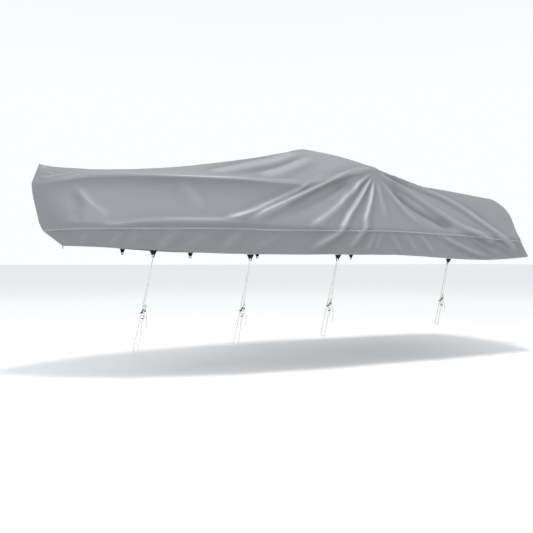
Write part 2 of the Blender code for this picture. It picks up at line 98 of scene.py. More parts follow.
# %% Floor
FLOOR_HEIGHT = -2.91
FLOOR_SIDE = 600.0
FLOOR_FADE = (5.0, 16.0)             # distances from the middle between which it turns paler
FLOOR_GREYS = ((0.78, 0.78, 0.78), (0.94, 0.94, 0.94))
FLOOR_ROUGHNESS = 0.9


def shader_of(material):
    return material.node_tree.nodes["Principled BSDF"]


def new_material(name, colour, roughness, specular=0.5):
    made = bpy.data.materials.new(name)
    made.use_nodes = True
    shader_of(made).inputs["Base Color"].default_value = (*colour, 1)
    shader_of(made).inputs["Roughness"].default_value = roughness
    shader_of(made).inputs["Specular IOR Level"].default_value = specular
    made.diffuse_color = (*colour, 1)
    return made


def add_object(name, data, *finishes):
    made = bpy.data.objects.new(name, data)
    for finish in finishes:
        data.materials.append(finish)
    scene.collection.objects.link(made)
    return made


def node(tree, kind, **settings):
    made = tree.nodes.new(kind)
    for name, value in settings.items():
        setattr(made, name, value)
    return made


def ranged(tree, value, source, target, **settings):
    """A value that runs over the target range while the given one runs over the source range."""
    made = node(tree, "ShaderNodeMapRange", **settings)
    for name, number in zip(("From Min", "From Max", "To Min", "To Max"), (*source, *target)):
        made.inputs[name].default_value = number
    tree.links.new(value, made.inputs["Value"])
    return made.outputs["Result"]


def mixed_colour(tree, share, dark, light):
    ramp = node(tree, "ShaderNodeValToRGB")
    ramp.color_ramp.elements[0].color = (*dark, 1)
    ramp.color_ramp.elements[1].color = (*light, 1)
    tree.links.new(share, ramp.inputs["Fac"])
    return ramp.outputs["Color"]


floor_finish = new_material("pale floor", FLOOR_GREYS[0], FLOOR_ROUGHNESS, specular=0.0)
tree = floor_finish.node_tree
ground = node(tree, "ShaderNodeTexCoord")
distance = node(tree, "ShaderNodeVectorMath", operation="LENGTH")
tree.links.new(ground.outputs["Object"], distance.inputs[0])
fade = ranged(tree, distance.outputs["Value"], FLOOR_FADE, (0, 1), interpolation_type="SMOOTHSTEP")
tree.links.new(mixed_colour(tree, fade, *FLOOR_GREYS), shader_of(floor_finish).inputs["Base Color"])
half = FLOOR_SIDE / 2
floor_mesh = bpy.data.meshes.new("floor")
floor_corners = [(-half, -half), (half, -half), (half, half), (-half, half)]
floor_mesh.from_pydata([(x, y, FLOOR_HEIGHT) for x, y in floor_corners], [], [(0, 1, 2, 3)])
floor = add_object("floor", floor_mesh, floor_finish)
print("floor at", FLOOR_HEIGHT, "side", FLOOR_SIDE)

# %% [markdown]
# ## Sky and lamps
# An overcast sky is a huge soft lamp, so nothing has a hard shadow. Here it is a pale world that is a
# little dimmer overhead than at the horizon, which keeps the top of the cloth from being washed out.
# Three wide lamps stand in it: one overhead, one off the bow that models the folds, and a weak low one
# off the stern that lights the skirt and the hollows. Small lamps would give sharp shadows instead.

# %% Sky and lamps
SKY_COLOUR = (0.97, 0.985, 1.0)
SKY_SINES = (0.25, 1.0)              # sines of the heights in the sky between which it dims
SKY_STRENGTHS = (1.0, 0.80)          # up to the first of them and from the second up
#    name, place, what it is aimed at, how wide it is, watts
LAMPS = (
    ("sky lamp", (-1.0, -3.4, 8.5), (0, 0, -1), 3.0, 1120),
    ("quarter lamp", (7.0, -9.0, 0.0), (1.8, -1.1, -1.2), 4.0, 270),
    ("bow lamp", (-12.0, -7.0, 3.0), (-0.5, 0, -0.9), 4.0, 950),
)

world = bpy.data.worlds.new("overcast sky")
world.use_nodes = True
sky, background = world.node_tree, world.node_tree.nodes["Background"]
direction = node(sky, "ShaderNodeTexCoord")
upward = node(sky, "ShaderNodeSeparateXYZ")
sky.links.new(direction.outputs["Generated"], upward.inputs["Vector"])
sky.links.new(ranged(sky, upward.outputs["Z"], SKY_SINES, SKY_STRENGTHS), background.inputs["Strength"])
background.inputs["Color"].default_value = (*SKY_COLOUR, 1)
scene.world = world
scene.view_settings.view_transform = "Standard"
for name, place, aim, width, watts in LAMPS:
    lamp = bpy.data.lights.new(name, "AREA")
    lamp.shape = "DISK"
    lamp.size = width
    lamp.energy = watts
    holder = add_object(name, lamp)
    holder.location = place
    holder.rotation_euler = (Vector(aim) - Vector(place)).to_track_quat("-Z", "Y").to_euler()
print("lamps", len(LAMPS))

# %% [markdown]
# ## The plan of lines
# A boatbuilder draws a hull as a few long lines, and a cover takes the same lines: the ridge along its
# top, the shoulder where the deck of the cover turns down, the gunwale that it bulges over, the seam of
# the skirt and the hem. Each row of the two tables is a station, and the lines run from the stem, round
# one side, to the middle of the stern. Heights are measured from a level just under the hem.

# %% Lines of the cover
PEAK_HEIGHT = 1.56
#    ridge           shoulder                 dip of
#    x, height       x, breadth, height       deck, side
UPPER_LINES = (
    (-3.420, 1.127, -3.507, 0.000, 0.895, 0.000, -0.012),
    (-3.370, 1.118, -3.450, 0.130, 0.875, 0.000, 0.000),
    (-3.220, 1.104, -3.220, 0.325, 0.915, 0.010, 0.020),
    (-2.900, 1.102, -2.880, 0.510, 0.962, 0.015, 0.035),
    (-2.450, 1.128, -2.440, 0.700, 0.973, 0.020, 0.045),
    (-1.950, 1.180, -2.000, 0.842, 0.970, 0.020, 0.045),
    (-1.300, 1.286, -1.400, 0.965, 0.964, 0.025, 0.040),
    (-0.700, 1.408, -0.620, 1.045, 0.938, 0.030, 0.030),
    (-0.300, 1.500, -0.050, 0.985, 1.068, 0.020, 0.025),
    (0.000, 1.563, 0.350, 0.933, 1.157, -0.015, 0.030),
    (0.150, 1.530, 0.530, 0.909, 1.203, -0.038, 0.030),
    (0.420, 1.440, 0.600, 0.900, 1.222, -0.010, 0.030),
    (0.750, 1.335, 0.700, 0.867, 1.200, 0.050, 0.030),
    (1.050, 1.250, 0.920, 0.786, 1.167, 0.060, 0.035),
    (1.380, 1.165, 1.250, 0.668, 1.115, 0.050, 0.030),
    (1.800, 1.095, 1.660, 0.522, 1.075, 0.020, 0.020),
    (2.150, 1.062, 2.080, 0.500, 1.045, 0.000, 0.000),
    (2.600, 1.015, 2.650, 0.500, 0.991, 0.000, -0.040),
    (2.860, 0.990, 3.020, 0.500, 0.955, 0.000, -0.095),
    (2.940, 0.978, 3.060, 0.420, 0.948, 0.000, -0.070),
    (2.980, 0.972, 3.075, 0.250, 0.946, 0.000, -0.020),
    (3.010, 0.970, 3.080, 0.000, 0.946, 0.000, 0.000),
)
WINDSCREEN_STATION = 11              # the shoulder turns a sharp corner at this station
SHOULDER = slice(2, 5)               # where a row has the shoulder's x, breadth and height
#    gunwale                  seam of the skirt        hem
#    x, breadth, height       x, breadth, height       x, breadth, height
LOWER_LINES = (
    (-3.430, 0.000, 0.440, -3.385, 0.000, 0.352, -3.170, 0.000, 0.188),
    (-3.300, 0.190, 0.430, -3.260, 0.175, 0.362, -3.060, 0.170, 0.181),
    (-3.030, 0.425, 0.420, -3.000, 0.405, 0.368, -2.840, 0.370, 0.169),
    (-2.720, 0.630, 0.415, -2.700, 0.605, 0.372, -2.580, 0.555, 0.151),
    (-2.300, 0.830, 0.425, -2.300, 0.800, 0.370, -2.200, 0.765, 0.125),
    (-1.900, 0.955, 0.432, -1.900, 0.925, 0.377, -1.840, 0.885, 0.106),
    (-1.400, 1.060, 0.434, -1.400, 1.035, 0.376, -1.380, 1.000, 0.092),
    (-0.900, 1.130, 0.425, -0.920, 1.110, 0.368, -0.980, 1.070, 0.088),
    (-0.500, 1.160, 0.420, -0.530, 1.145, 0.374, -0.600, 1.105, 0.087),
    (-0.100, 1.180, 0.420, -0.130, 1.170, 0.379, -0.200, 1.135, 0.092),
    (0.250, 1.187, 0.425, 0.220, 1.178, 0.384, 0.150, 1.148, 0.088),
    (0.600, 1.190, 0.430, 0.580, 1.180, 0.390, 0.550, 1.155, 0.093),
    (1.000, 1.187, 0.425, 1.000, 1.177, 0.380, 1.000, 1.158, 0.078),
    (1.400, 1.180, 0.420, 1.400, 1.170, 0.366, 1.420, 1.156, 0.057),
    (1.800, 1.172, 0.405, 1.800, 1.162, 0.355, 1.840, 1.152, 0.036),
    (2.200, 1.160, 0.385, 2.210, 1.150, 0.333, 2.270, 1.144, 0.028),
    (2.500, 1.145, 0.365, 2.520, 1.137, 0.313, 2.600, 1.132, 0.040),
    (2.830, 1.128, 0.345, 2.850, 1.122, 0.297, 2.940, 1.118, 0.060),
    (2.985, 1.085, 0.335, 3.010, 1.075, 0.290, 3.120, 1.105, 0.078),
    (3.050, 0.930, 0.335, 3.065, 0.920, 0.290, 3.145, 0.950, 0.085),
    (3.065, 0.500, 0.335, 3.080, 0.500, 0.290, 3.150, 0.500, 0.090),
    (3.070, 0.000, 0.335, 3.085, 0.000, 0.290, 3.150, 0.000, 0.095),
)
GUNWALE, SEAM, HEM = slice(0, 3), slice(3, 6), slice(6, 9)
HEM_HEIGHT = 8                       # where a row has the height of the hem
# Columns of faces between one station and the next, and rows between one line and the next
COLUMNS = (10, 18, 16, 14, 14, 16, 18, 22, 22, 20, 18, 18, 20, 20, 18, 14, 12, 12, 8, 10, 10)
DECK_ROWS, SIDE_ROWS, BAND_ROWS, SKIRT_ROWS = 25, 43, 5, 24
SEAM_ROW = DECK_ROWS + SIDE_ROWS + BAND_ROWS
HEM_ROW = SEAM_ROW + SKIRT_ROWS
# The starboard hem hangs a little higher, and straighter, than the port one
STARBOARD_HEM_LIFT = 0.045
STARBOARD_HEM_LEVEL = 0.09           # height that its low stretches are drawn up towards
STARBOARD_HEM_STRAIGHTENING = 0.8    # how much of the way there they go
STARBOARD_HEM_ENDS = 8               # the higher, the nearer to stem and stern all this holds
print("columns a side", sum(COLUMNS), "rows", HEM_ROW)

# %% [markdown]
# ## The lines at every column
# The surface needs the lines at many more places than the stations. A plain spline through the stations
# would swing past them and leave ripples that the real cloth hasn't. The cubic used here never overshoots
# its points. The shoulder is read in two parts, so that it keeps its sharp corner at the windscreen.

# %% Lines at every column
def smooth(knots, values, at):
    """Rows of values between the knots, on a cubic that never overshoots them."""
    step = np.diff(knots)[:, None]
    rise = np.diff(values, axis=0) / step
    turns = rise[:-1] * rise[1:] <= 0
    total = np.where(turns, 1.0, rise[:-1] + rise[1:])
    inner = np.where(turns, 0.0, 2 * rise[:-1] * rise[1:] / total)
    slope = np.vstack([rise[:1], inner, rise[-1:]])
    i = np.clip(np.searchsorted(knots, at, "right") - 1, 0, len(knots) - 2)
    width = step[i]
    u = (at[:, None] - knots[i][:, None]) / width
    return (
        (1 + 2 * u) * (1 - u) ** 2 * values[i]
        + u * (1 - u) ** 2 * width * slope[i]
        + u * u * (3 - 2 * u) * values[i + 1]
        + u * u * (u - 1) * width * slope[i + 1]
    )


def length_along(path):
    """Length of a path up to each of its points."""
    return np.concatenate([[0.0], np.cumsum(np.linalg.norm(np.diff(path, axis=0), axis=1))])


def lines_at_columns():
    """Both tables read at every column of faces, and each column's share of the way round."""
    upper, lower = np.array(UPPER_LINES), np.array(LOWER_LINES)
    knots = length_along(lower[:, :2])
    at = [a + (b - a) * i / n for a, b, n in zip(knots, knots[1:], COLUMNS) for i in range(n)]
    at = np.array(at + [knots[-1]])
    corner = WINDSCREEN_STATION
    before = smooth(knots[:corner + 1], upper[:corner + 1, SHOULDER], at)
    after = smooth(knots[corner:], upper[corner:, SHOULDER], at)
    upper = smooth(knots, upper, at)
    upper[:, SHOULDER] = np.where((at < knots[corner])[:, None], before, after)
    return upper, smooth(knots, lower, at), at / at[-1]


print("lines read at", len(lines_at_columns()[-1]), "columns")

# %% [markdown]
# ## One side of the cover
# Every column drops from the ridge over the shoulder and the gunwale to the seam and the hem, and the cloth
# sags a little between them. The deck sags straight down and is deepest half way. The side sags inwards and
# is deepest a third of the way down, because the gunwale below pushes it out again.

# %% One side
def unit(vectors):
    return vectors / np.linalg.norm(vectors, axis=-1, keepdims=True)


def placed(line, side):
    """Points from the x, breadth and height of a line."""
    return line * (1, side, 1) - (0, 0, PEAK_HEIGHT)


def half_surface(side):
    """Points of one side, as columns from the stem to the stern and rows from the ridge to the hem."""
    upper, lower, share = lines_at_columns()
    if side > 0:
        hem_height = lower[:, HEM_HEIGHT]
        middle = 1 - (2 * share - 1) ** STARBOARD_HEM_ENDS
        slack = np.maximum(0, STARBOARD_HEM_LEVEL - hem_height)
        lower[:, HEM_HEIGHT] += middle * (STARBOARD_HEM_LIFT + STARBOARD_HEM_STRAIGHTENING * slack)
    ridge = placed(np.insert(upper[:, :2], 1, 0.0, axis=1), side)
    shoulder = placed(upper[:, SHOULDER], side)
    gunwale, seam, hem = (placed(lower[:, line], side) for line in (GUNWALE, SEAM, HEM))
    deck_dip, side_dip = upper[:, -2, None], upper[:, -1, None]
    outward = unit(np.cross((0, 0, side), np.gradient(gunwale, axis=0)))
    rows = []
    for u in np.arange(DECK_ROWS) / DECK_ROWS:
        sag = 4 * u * (1 - u)                        # 1 at its deepest, half way down
        rows.append(ridge + (shoulder - ridge) * u - deck_dip * sag * (0, 0, 1))
    for u in np.arange(SIDE_ROWS) / SIDE_ROWS:
        sag = 27 / 4 * u * (1 - u) ** 2              # 1 at its deepest, a third of the way down
        rows.append(shoulder + (gunwale - shoulder) * u - outward * side_dip * sag)
    for u in np.arange(BAND_ROWS) / BAND_ROWS:
        rows.append(gunwale + (seam - gunwale) * u)
    for u in np.arange(SKIRT_ROWS + 1) / SKIRT_ROWS:
        rows.append(seam + (hem - seam) * u)
    return np.stack(rows, axis=1)


port_half, starboard_half = half_surface(-1), half_surface(1)
print("points a side", port_half.shape[:2])

# %% [markdown]
# ## The whole surface, rounded
# The two sides are joined at stem and stern into a grid that closes on itself. A few passes of averaging
# with the neighbours then round the creases off, as cloth over a rail is round. A bevel would do it too,
# but it would add faces where the grid already has enough.

# %% Plain draped surface
GIRTH_PASSES, LENGTH_PASSES = 3, 2


def averaged_round(grid):
    """Each value of the closed grid averaged with those of the columns on either side."""
    return (np.roll(grid, 1, axis=0) + 2 * grid + np.roll(grid, -1, axis=0)) / 4


def averaged_down(grid):
    """The inner values of each column averaged with those above and below."""
    return (grid[:, :-2] + 2 * grid[:, 1:-1] + grid[:, 2:]) / 4


def rounded(grid):
    """The closed grid with its creases rounded off."""
    mirror = -np.arange(len(grid)) % len(grid)
    for _ in range(GIRTH_PASSES):
        ridge = (2 * grid[:, 0] + grid[:, 1] + grid[mirror, 1]) / 4
        grid = np.concatenate([ridge[:, None], averaged_down(grid), grid[:, -1:]], axis=1)
    for _ in range(LENGTH_PASSES):
        grid = averaged_round(grid)
    return grid


plain = rounded(np.concatenate([port_half, starboard_half[-2:0:-1]]))
around = len(plain)                  # columns once round the cover
STERN = around // 2
print("plain surface", plain.shape, "low", plain.min((0, 1)).round(3), "high", plain.max((0, 1)).round(3))

# %% [markdown]
# ## Point numbers and normals
# Both sides share the points on the ridge, so the surface is one sheet with no slit along its top. The
# numbers of a column give its points, and two columns side by side give a strip of four-sided faces. The
# normal of a point says which way is off the cloth there, and the folds are raised along it.

# %% Numbers, faces and normals
numbers = np.arange(plain.shape[0] * plain.shape[1]).reshape(plain.shape[:2])
numbers[STERN + 1:, 0] = numbers[STERN - 1:0:-1, 0]
numbers = np.vstack([numbers, numbers[:1]])


def corners_of(grid, first, last):
    """The four corners of every face in the rows from first to last, seen from outside."""
    above, below = grid[:, first:last], grid[:, first + 1:last + 1]
    faces = np.stack([above[:-1], below[:-1], below[1:], above[1:]], axis=2)
    return faces.reshape(-1, *faces.shape[2:])


def point_normals(points, quads):
    """The way off the surface at each point, from the faces that meet there."""
    corners = points[quads]
    faces = np.cross(corners[:, 2] - corners[:, 0], corners[:, 3] - corners[:, 1])
    normals = np.zeros_like(points)
    for corner in range(4):
        np.add.at(normals, quads[:, corner], faces)
    return normals / np.maximum(np.linalg.norm(normals, axis=1), 1e-12)[:, None]


quads = corners_of(numbers, 0, HEM_ROW)
plain_points = plain.reshape(-1, 3)
plain_normals = point_normals(plain_points, quads)
print("faces", len(quads))

# %% [markdown]
# ## Folds
# The cloth is pulled down by its ropes and held up by the windscreen's corner, so it is drawn into folds
# that fan from that corner, and into smaller ones where a hem or a seam gathers. A cloth simulation would
# give folds of its own, but these are known ones, so each is laid along its course, given as x and height
# on the port side. A tight fold has a narrow crest with hollow flanks. One with a negative rise is a
# trough. The lean makes a fold steeper on its lower side. The long low swell aft of the corner is where
# the cloth is drawn tight along the shoulder.

# %% Fold table
#    rise, half width at its start and end, lean, radius of its crest, course of (x, height)
FOLDS = (
    # from the cabin top forward over the deck
    (0.050, 0.16, 0.32, 0.25, 0.012,
     ((-0.08, 1.49), (-0.42, 1.36), (-0.92, 1.22), (-1.60, 1.05))),
    (0.042, 0.15, 0.28, 0.25, 0.012,
     ((0.02, 1.41), (-0.27, 1.28), (-0.62, 1.14), (-1.00, 1.03))),
    # along the edge where the deck turns down, and over the gunwale
    (0.020, 0.08, 0.09, 0.00, 0.006,
     ((-3.45, 0.88), (-3.30, 0.92), (-3.08, 0.95), (-2.85, 0.97), (-2.47, 0.97), (-2.13, 0.97),
      (-1.77, 0.97), (-1.44, 0.97), (-1.07, 0.97), (-0.63, 0.98), (-0.40, 0.99))),
    (0.012, 0.09, 0.09, 0.00, 0.010,
     ((-2.94, 0.385), (-2.72, 0.41), (-2.46, 0.445), (-2.15, 0.46), (-1.84, 0.46), (-1.53, 0.46),
      (-1.25, 0.45))),
    # from the windscreen's corner forward and down
    (0.024, 0.04, 0.11, 0.10, 0.006,
     ((0.03, 1.14), (-0.08, 1.10), (-0.34, 1.005), (-0.54, 0.90), (-0.71, 0.805), (-0.89, 0.72),
      (-1.05, 0.645), (-1.21, 0.57), (-1.44, 0.50), (-1.67, 0.45))),
    (0.038, 0.07, 0.14, 0.10, 0.008,
     ((0.60, 1.215), (0.46, 1.185), (0.25, 1.14), (0.04, 1.07), (-0.16, 0.99), (-0.36, 0.90),
      (-0.55, 0.81), (-0.71, 0.735), (-0.88, 0.655), (-1.05, 0.58), (-1.21, 0.50), (-1.35, 0.46))),
    (-0.018, 0.06, 0.20, 0.00, 0.050,
     ((0.30, 1.04), (0.12, 0.98), (-0.05, 0.90), (-0.24, 0.79), (-0.47, 0.68), (-0.69, 0.60),
      (-0.89, 0.53))),
    (0.034, 0.06, 0.20, 0.00, 0.012,
     ((0.59, 1.19), (0.50, 1.12), (0.40, 1.06), (0.28, 0.97), (0.20, 0.89), (0.07, 0.80),
      (-0.06, 0.69), (-0.24, 0.57), (-0.37, 0.49), (-0.50, 0.42), (-0.62, 0.36))),
    (0.038, 0.05, 0.16, 0.00, 0.008,
     ((0.585, 1.17), (0.52, 1.08), (0.41, 0.96), (0.30, 0.83), (0.18, 0.70), (0.05, 0.57),
      (-0.04, 0.46), (-0.14, 0.35), (-0.28, 0.27), (-0.43, 0.19), (-0.56, 0.11))),
    (0.032, 0.05, 0.15, 0.00, 0.008,
     ((0.59, 1.15), (0.55, 1.06), (0.51, 0.97), (0.43, 0.79), (0.35, 0.65), (0.27, 0.52),
      (0.24, 0.42), (0.16, 0.33), (0.09, 0.24), (-0.06, 0.11))),
    (0.014, 0.05, 0.14, 0.00, 0.010,
     ((0.63, 1.10), (0.60, 1.00), (0.59, 0.82), (0.58, 0.66), (0.57, 0.48))),
    # from the corner aft and down
    (0.026, 0.05, 0.18, 0.00, 0.010,
     ((0.65, 1.12), (0.72, 0.96), (0.79, 0.86), (0.87, 0.75), (0.95, 0.64), (1.08, 0.54), (1.21, 0.43))),
    (0.060, 0.06, 0.21, 0.15, 0.006,
     ((0.62, 1.19), (0.70, 1.13), (0.82, 1.06), (1.10, 0.94), (1.27, 0.84), (1.44, 0.74),
      (1.63, 0.62), (1.81, 0.49), (2.02, 0.41), (2.29, 0.31), (2.52, 0.26))),
    (-0.055, 0.10, 0.24, 0.00, 0.050,
     ((0.76, 1.02), (0.90, 0.90), (1.05, 0.79), (1.20, 0.69), (1.39, 0.60), (1.60, 0.50), (1.78, 0.43))),
    (0.026, 0.22, 0.22, 0.00, 0.080,
     ((0.66, 1.20), (0.92, 1.167), (1.25, 1.115), (1.66, 1.075), (2.00, 1.05))),
    (0.048, 0.05, 0.21, 0.15, 0.008,
     ((0.66, 1.19), (0.95, 1.11), (1.39, 1.045), (1.67, 0.995), (1.93, 0.91), (2.14, 0.78),
      (2.24, 0.69), (2.33, 0.58), (2.43, 0.48), (2.53, 0.37), (2.72, 0.24), (2.95, 0.11))),
    # over the bow and the side
    (-0.008, 0.12, 0.20, 0.00, 0.040,
     ((-3.10, 0.82), (-3.07, 0.70), (-3.06, 0.60), (-3.07, 0.50), (-3.10, 0.41))),
    (0.013, 0.12, 0.24, 0.00, 0.020,
     ((-3.10, 0.86), (-3.02, 0.76), (-2.92, 0.66), (-2.80, 0.56), (-2.66, 0.46))),
    (0.009, 0.10, 0.20, 0.00, 0.015,
     ((-2.05, 0.94), (-2.00, 0.89), (-1.92, 0.78), (-1.84, 0.66), (-1.77, 0.55))),
    (0.024, 0.06, 0.08, 0.00, 0.004, ((-3.43, 0.97), (-3.36, 0.95), (-3.24, 0.96), (-3.12, 0.97))),
    (0.022, 0.06, 0.07, 0.00, 0.004, ((-3.36, 1.04), (-3.30, 0.99), (-3.20, 0.975), (-3.05, 0.985))),
    (0.020, 0.05, 0.08, 0.00, 0.004, ((-3.30, 1.07), (-3.16, 1.01), (-2.98, 0.995), (-2.75, 1.00))),
    # gathers where the seam goes round the bow
    (0.007, 0.04, 0.04, 0.00, 0.004, ((-3.33, 0.44), (-3.32, 0.33))),
    (0.007, 0.04, 0.04, 0.00, 0.004, ((-3.26, 0.43), (-3.25, 0.34))),
    (0.007, 0.04, 0.04, 0.00, 0.004, ((-3.19, 0.43), (-3.18, 0.34))),
    # down the skirt
    (0.008, 0.08, 0.10, 0.00, 0.008, ((-2.96, 0.34), (-3.00, 0.20))),
    (0.009, 0.07, 0.10, 0.00, 0.008, ((-2.61, 0.34), (-2.72, 0.18))),
    (0.007, 0.08, 0.13, 0.00, 0.010, ((-2.45, 0.36), (-2.58, 0.17))),
    (0.010, 0.08, 0.13, 0.00, 0.008, ((-2.05, 0.37), (-2.15, 0.26), (-2.28, 0.14))),
    (0.007, 0.07, 0.12, 0.00, 0.008, ((-1.68, 0.35), (-1.85, 0.24), (-2.02, 0.12))),
    (0.009, 0.08, 0.12, 0.00, 0.010, ((-1.33, 0.37), (-1.46, 0.24), (-1.60, 0.11))),
    (0.006, 0.07, 0.10, 0.00, 0.008, ((-0.85, 0.34), (-1.02, 0.24), (-1.22, 0.16))),
    (0.012, 0.04, 0.08, 0.00, 0.006, ((0.40, 0.41), (0.35, 0.26), (0.25, 0.10))),
    (0.010, 0.04, 0.08, 0.00, 0.006, ((0.50, 0.41), (0.46, 0.26), (0.40, 0.12))),
    (0.012, 0.04, 0.08, 0.00, 0.006, ((0.60, 0.40), (0.70, 0.24), (0.82, 0.09))),
    (0.010, 0.04, 0.09, 0.00, 0.006, ((0.82, 0.38), (0.95, 0.24), (1.08, 0.08))),
    (0.014, 0.05, 0.10, 0.00, 0.006, ((1.05, 0.38), (1.22, 0.22), (1.38, 0.07))),
    (0.022, 0.06, 0.12, 0.15, 0.008, ((1.35, 0.37), (1.68, 0.25), (2.08, 0.12), (2.38, 0.07))),
    (0.015, 0.05, 0.11, 0.15, 0.008, ((1.90, 0.34), (2.25, 0.20), (2.60, 0.08))),
    (0.014, 0.05, 0.11, 0.15, 0.008, ((2.38, 0.31), (2.65, 0.18), (2.92, 0.09))),
)
STARBOARD_FOLD_SHARE = 0.75          # rise of the starboard folds beside the port ones
STARBOARD_FOLD_SHIFT = 0.06          # and how far aft of them they lie
FOLD_START, FOLD_FADE = 0.35, 0.30   # lengths over which a fold rises and dies away
FOLD_PEAK = 3.4                      # the higher, the narrower the crest beside the flanks
FOLD_NEIGHBOURS = 12                 # points of the surface whose breadth a place of a course takes
FOLD_REACH = 0.01                    # distance within which they all count alike
COURSE_STEP = 0.05                   # between the points of a course once it is a smooth line
FOLD_BLEND = 3                       # the higher, the less two folds add up where they meet
print("folds a side", len(FOLDS))

# %% [markdown]
# ## Courses
# A course is a few listed points, and a smooth line is run through them. The same helper draws the
# ropes and hooks later. A course is given as x and height only, so its breadth comes from the points of
# the plain surface that lie nearest to it.

# %% Smooth courses
def smooth_route(points, step):
    """Points on a curve through the given ones, about that far from one to the next."""
    route = [np.array(point, float) for point in points]
    route = [2 * route[0] - route[1], *route, 2 * route[-1] - route[-2]]
    read = []
    for a, b, c, d in zip(route, route[1:], route[2:], route[3:]):
        before, here, after = (np.linalg.norm(q - p) ** 0.5 for p, q in ((a, b), (b, c), (c, d)))
        start = (b - a) / before - (c - a) / (before + here) + (c - b) / here
        end = (c - b) / here - (d - b) / (here + after) + (d - c) / after
        count = ceil(np.linalg.norm(c - b) / step)
        for u in np.arange(count) / count:
            read.append(
                (1 + 2 * u) * (1 - u) ** 2 * b
                + u * (1 - u) ** 2 * here * start
                + u * u * (3 - 2 * u) * c
                + u * u * (u - 1) * here * end
            )
    return np.array(read + [route[-2]])


def course_on(points, course, shift):
    """The course of a fold in space, lying on those points."""
    places = []
    for x, height in course:
        x += shift
        height -= PEAK_HEIGHT
        off = (points[:, 0] - x) ** 2 + (points[:, 2] - height) ** 2
        near = np.argpartition(off, FOLD_NEIGHBOURS)[:FOLD_NEIGHBOURS]
        breadth = np.average(points[near, 1], weights=1 / (off[near] + FOLD_REACH ** 2))
        places.append((x, breadth, height))
    return smooth_route(places, COURSE_STEP)


windscreen_fold = max(FOLDS)
print("highest fold has", len(course_on(plain_points, windscreen_fold[-1], 0.0)), "places on its course")

# %% [markdown]
# ## One fold
# A point of the cloth is lifted by how near it lies to a course. The lift falls away from the crest first
# quickly and then slowly, so a fold has a narrow crest and long quiet flanks, and it eases in and out at
# its ends. Blender's sculpting tools could pull such folds up, but then no number would say where they are.

# %% One fold
def ease(share):
    """From 0 to 1 with a soft start and a soft end."""
    share = np.clip(share, 0, 1)
    return share * share * (3 - 2 * share)


def along_course(points, places):
    """Distance of each point to the course, length along it, how far below it lies, and its length."""
    best = np.full(len(points), np.inf)
    along, below = np.zeros(len(points)), np.zeros(len(points))
    total = 0.0
    for a, b in zip(places, places[1:]):
        length = np.linalg.norm(b - a)
        run = (b - a) / length
        reach = np.clip((points - a) @ run, 0, length)
        off = points - a - reach[:, None] * run
        distance = np.linalg.norm(off, axis=1)
        nearer = distance < best
        best[nearer] = distance[nearer]
        along[nearer] = total + reach[nearer]
        below[nearer] = -off[nearer, 2] / np.maximum(distance[nearer], 1e-9)
        total += length
    return best, along, below, total


def fold_height(points, fold, shift):
    """How far one fold lifts each point off the plain surface."""
    rise, start_width, end_width, lean, crest, course = fold
    places = course_on(points, course, shift)
    reach = max(start_width, end_width) * (1 + lean)
    near = ((points > places.min(0) - reach) & (points < places.max(0) + reach)).all(axis=1)
    off, along, below, total = along_course(points[near], places)
    width = (start_width + (end_width - start_width) * along / total) * (1 - lean * below)
    ends = ease(along / min(FOLD_START, total / 3)) * ease((total - along) / min(FOLD_FADE, total / 3))
    blunt = np.sqrt(off ** 2 + crest ** 2) - crest
    height = np.zeros(len(points))
    height[near] = rise * ends * np.clip(1 - blunt / width, 0, 1) ** FOLD_PEAK
    return height


print("one fold lifts", np.count_nonzero(fold_height(plain_points, FOLDS[0], 0.0)), "points")

# %% [markdown]
# ## All folds
# Where two folds meet, the higher one wins, with a soft change from one to the other, because two ridges
# that simply add up would swell into a lump. Starboard has the same folds, lower and a little further aft,
# because no two sides of a tied cover hang alike.

# %% Folds on the surface
def all_folds(points, side):
    ridges, troughs = np.zeros(len(points)), np.zeros(len(points))
    shift = STARBOARD_FOLD_SHIFT if side > 0 else 0.0
    for fold in FOLDS:
        height = fold_height(points, fold, shift)
        if fold[0] > 0:
            ridges += height ** FOLD_BLEND
        else:
            troughs += (-height) ** FOLD_BLEND
    share = STARBOARD_FOLD_SHARE if side > 0 else 1.0
    return share * (ridges ** (1 / FOLD_BLEND) - troughs ** (1 / FOLD_BLEND))


lift = np.zeros(len(plain_points))
for side in (-1, 1):
    on_side = plain_points[:, 1] * side > 0
    lift[on_side] = all_folds(plain_points[on_side], side)
print("folds lift the cloth by", lift.min().round(3), "to", lift.max().round(3))

# %% [markdown]
# ## Waves, and the two faces
# No cloth lies as smooth as a formula, so slow waves of a few millimetres run over all of it. The outer
# face is the plain surface pushed out by its folds and waves, and the inner face lies one thickness of
# cloth under it. A Solidify modifier could do that too, but the seam and the hem need both faces later.

# %% Waves, and the cloth's two faces
WAVE_SIZES = ((0.9, 0.0035), (0.35, 0.0016))      # length of the waves, how high they are
SHOWN_CLOTH = 0.002                               # thickness of the sheets

waves = np.zeros(len(plain_points))
for length, height in WAVE_SIZES:
    waves += height * np.array([noise.noise(Vector(point) / length) for point in plain_points])
outer = plain_points + (lift + waves)[:, None] * plain_normals
outer_normals = point_normals(outer, quads)
inner = outer - SHOWN_CLOTH * outer_normals
print("cloth", outer[:, 0].min().round(3), outer[:, 0].max().round(3), "top", outer[:, 2].max().round(4))

# %% [markdown]
# ## Crests
# A crest is where coated cloth is bent hardest and rubbed most, so it is smoother than the hollow beside
# it, and the finish also paints a highlight along it, which makes it paler, as a lit crest looks. How far
# each point stands above the averaged level round it says where the crests are. The sheets carry that
# number as an attribute, and the finish reads it.

# %% Crests of the folds
CREST_PASSES = 10                    # of averaging, for the level that a crest stands above
CREST_SOFTENING = 3                  # passes over the crests themselves, so that none is beaded


def averaged(grid, passes):
    """The closed grid after so many passes of averaging each value with its neighbours."""
    for _ in range(passes):
        grid = averaged_round(grid)
        grid[:, 1:-1] = averaged_down(grid)
    return grid


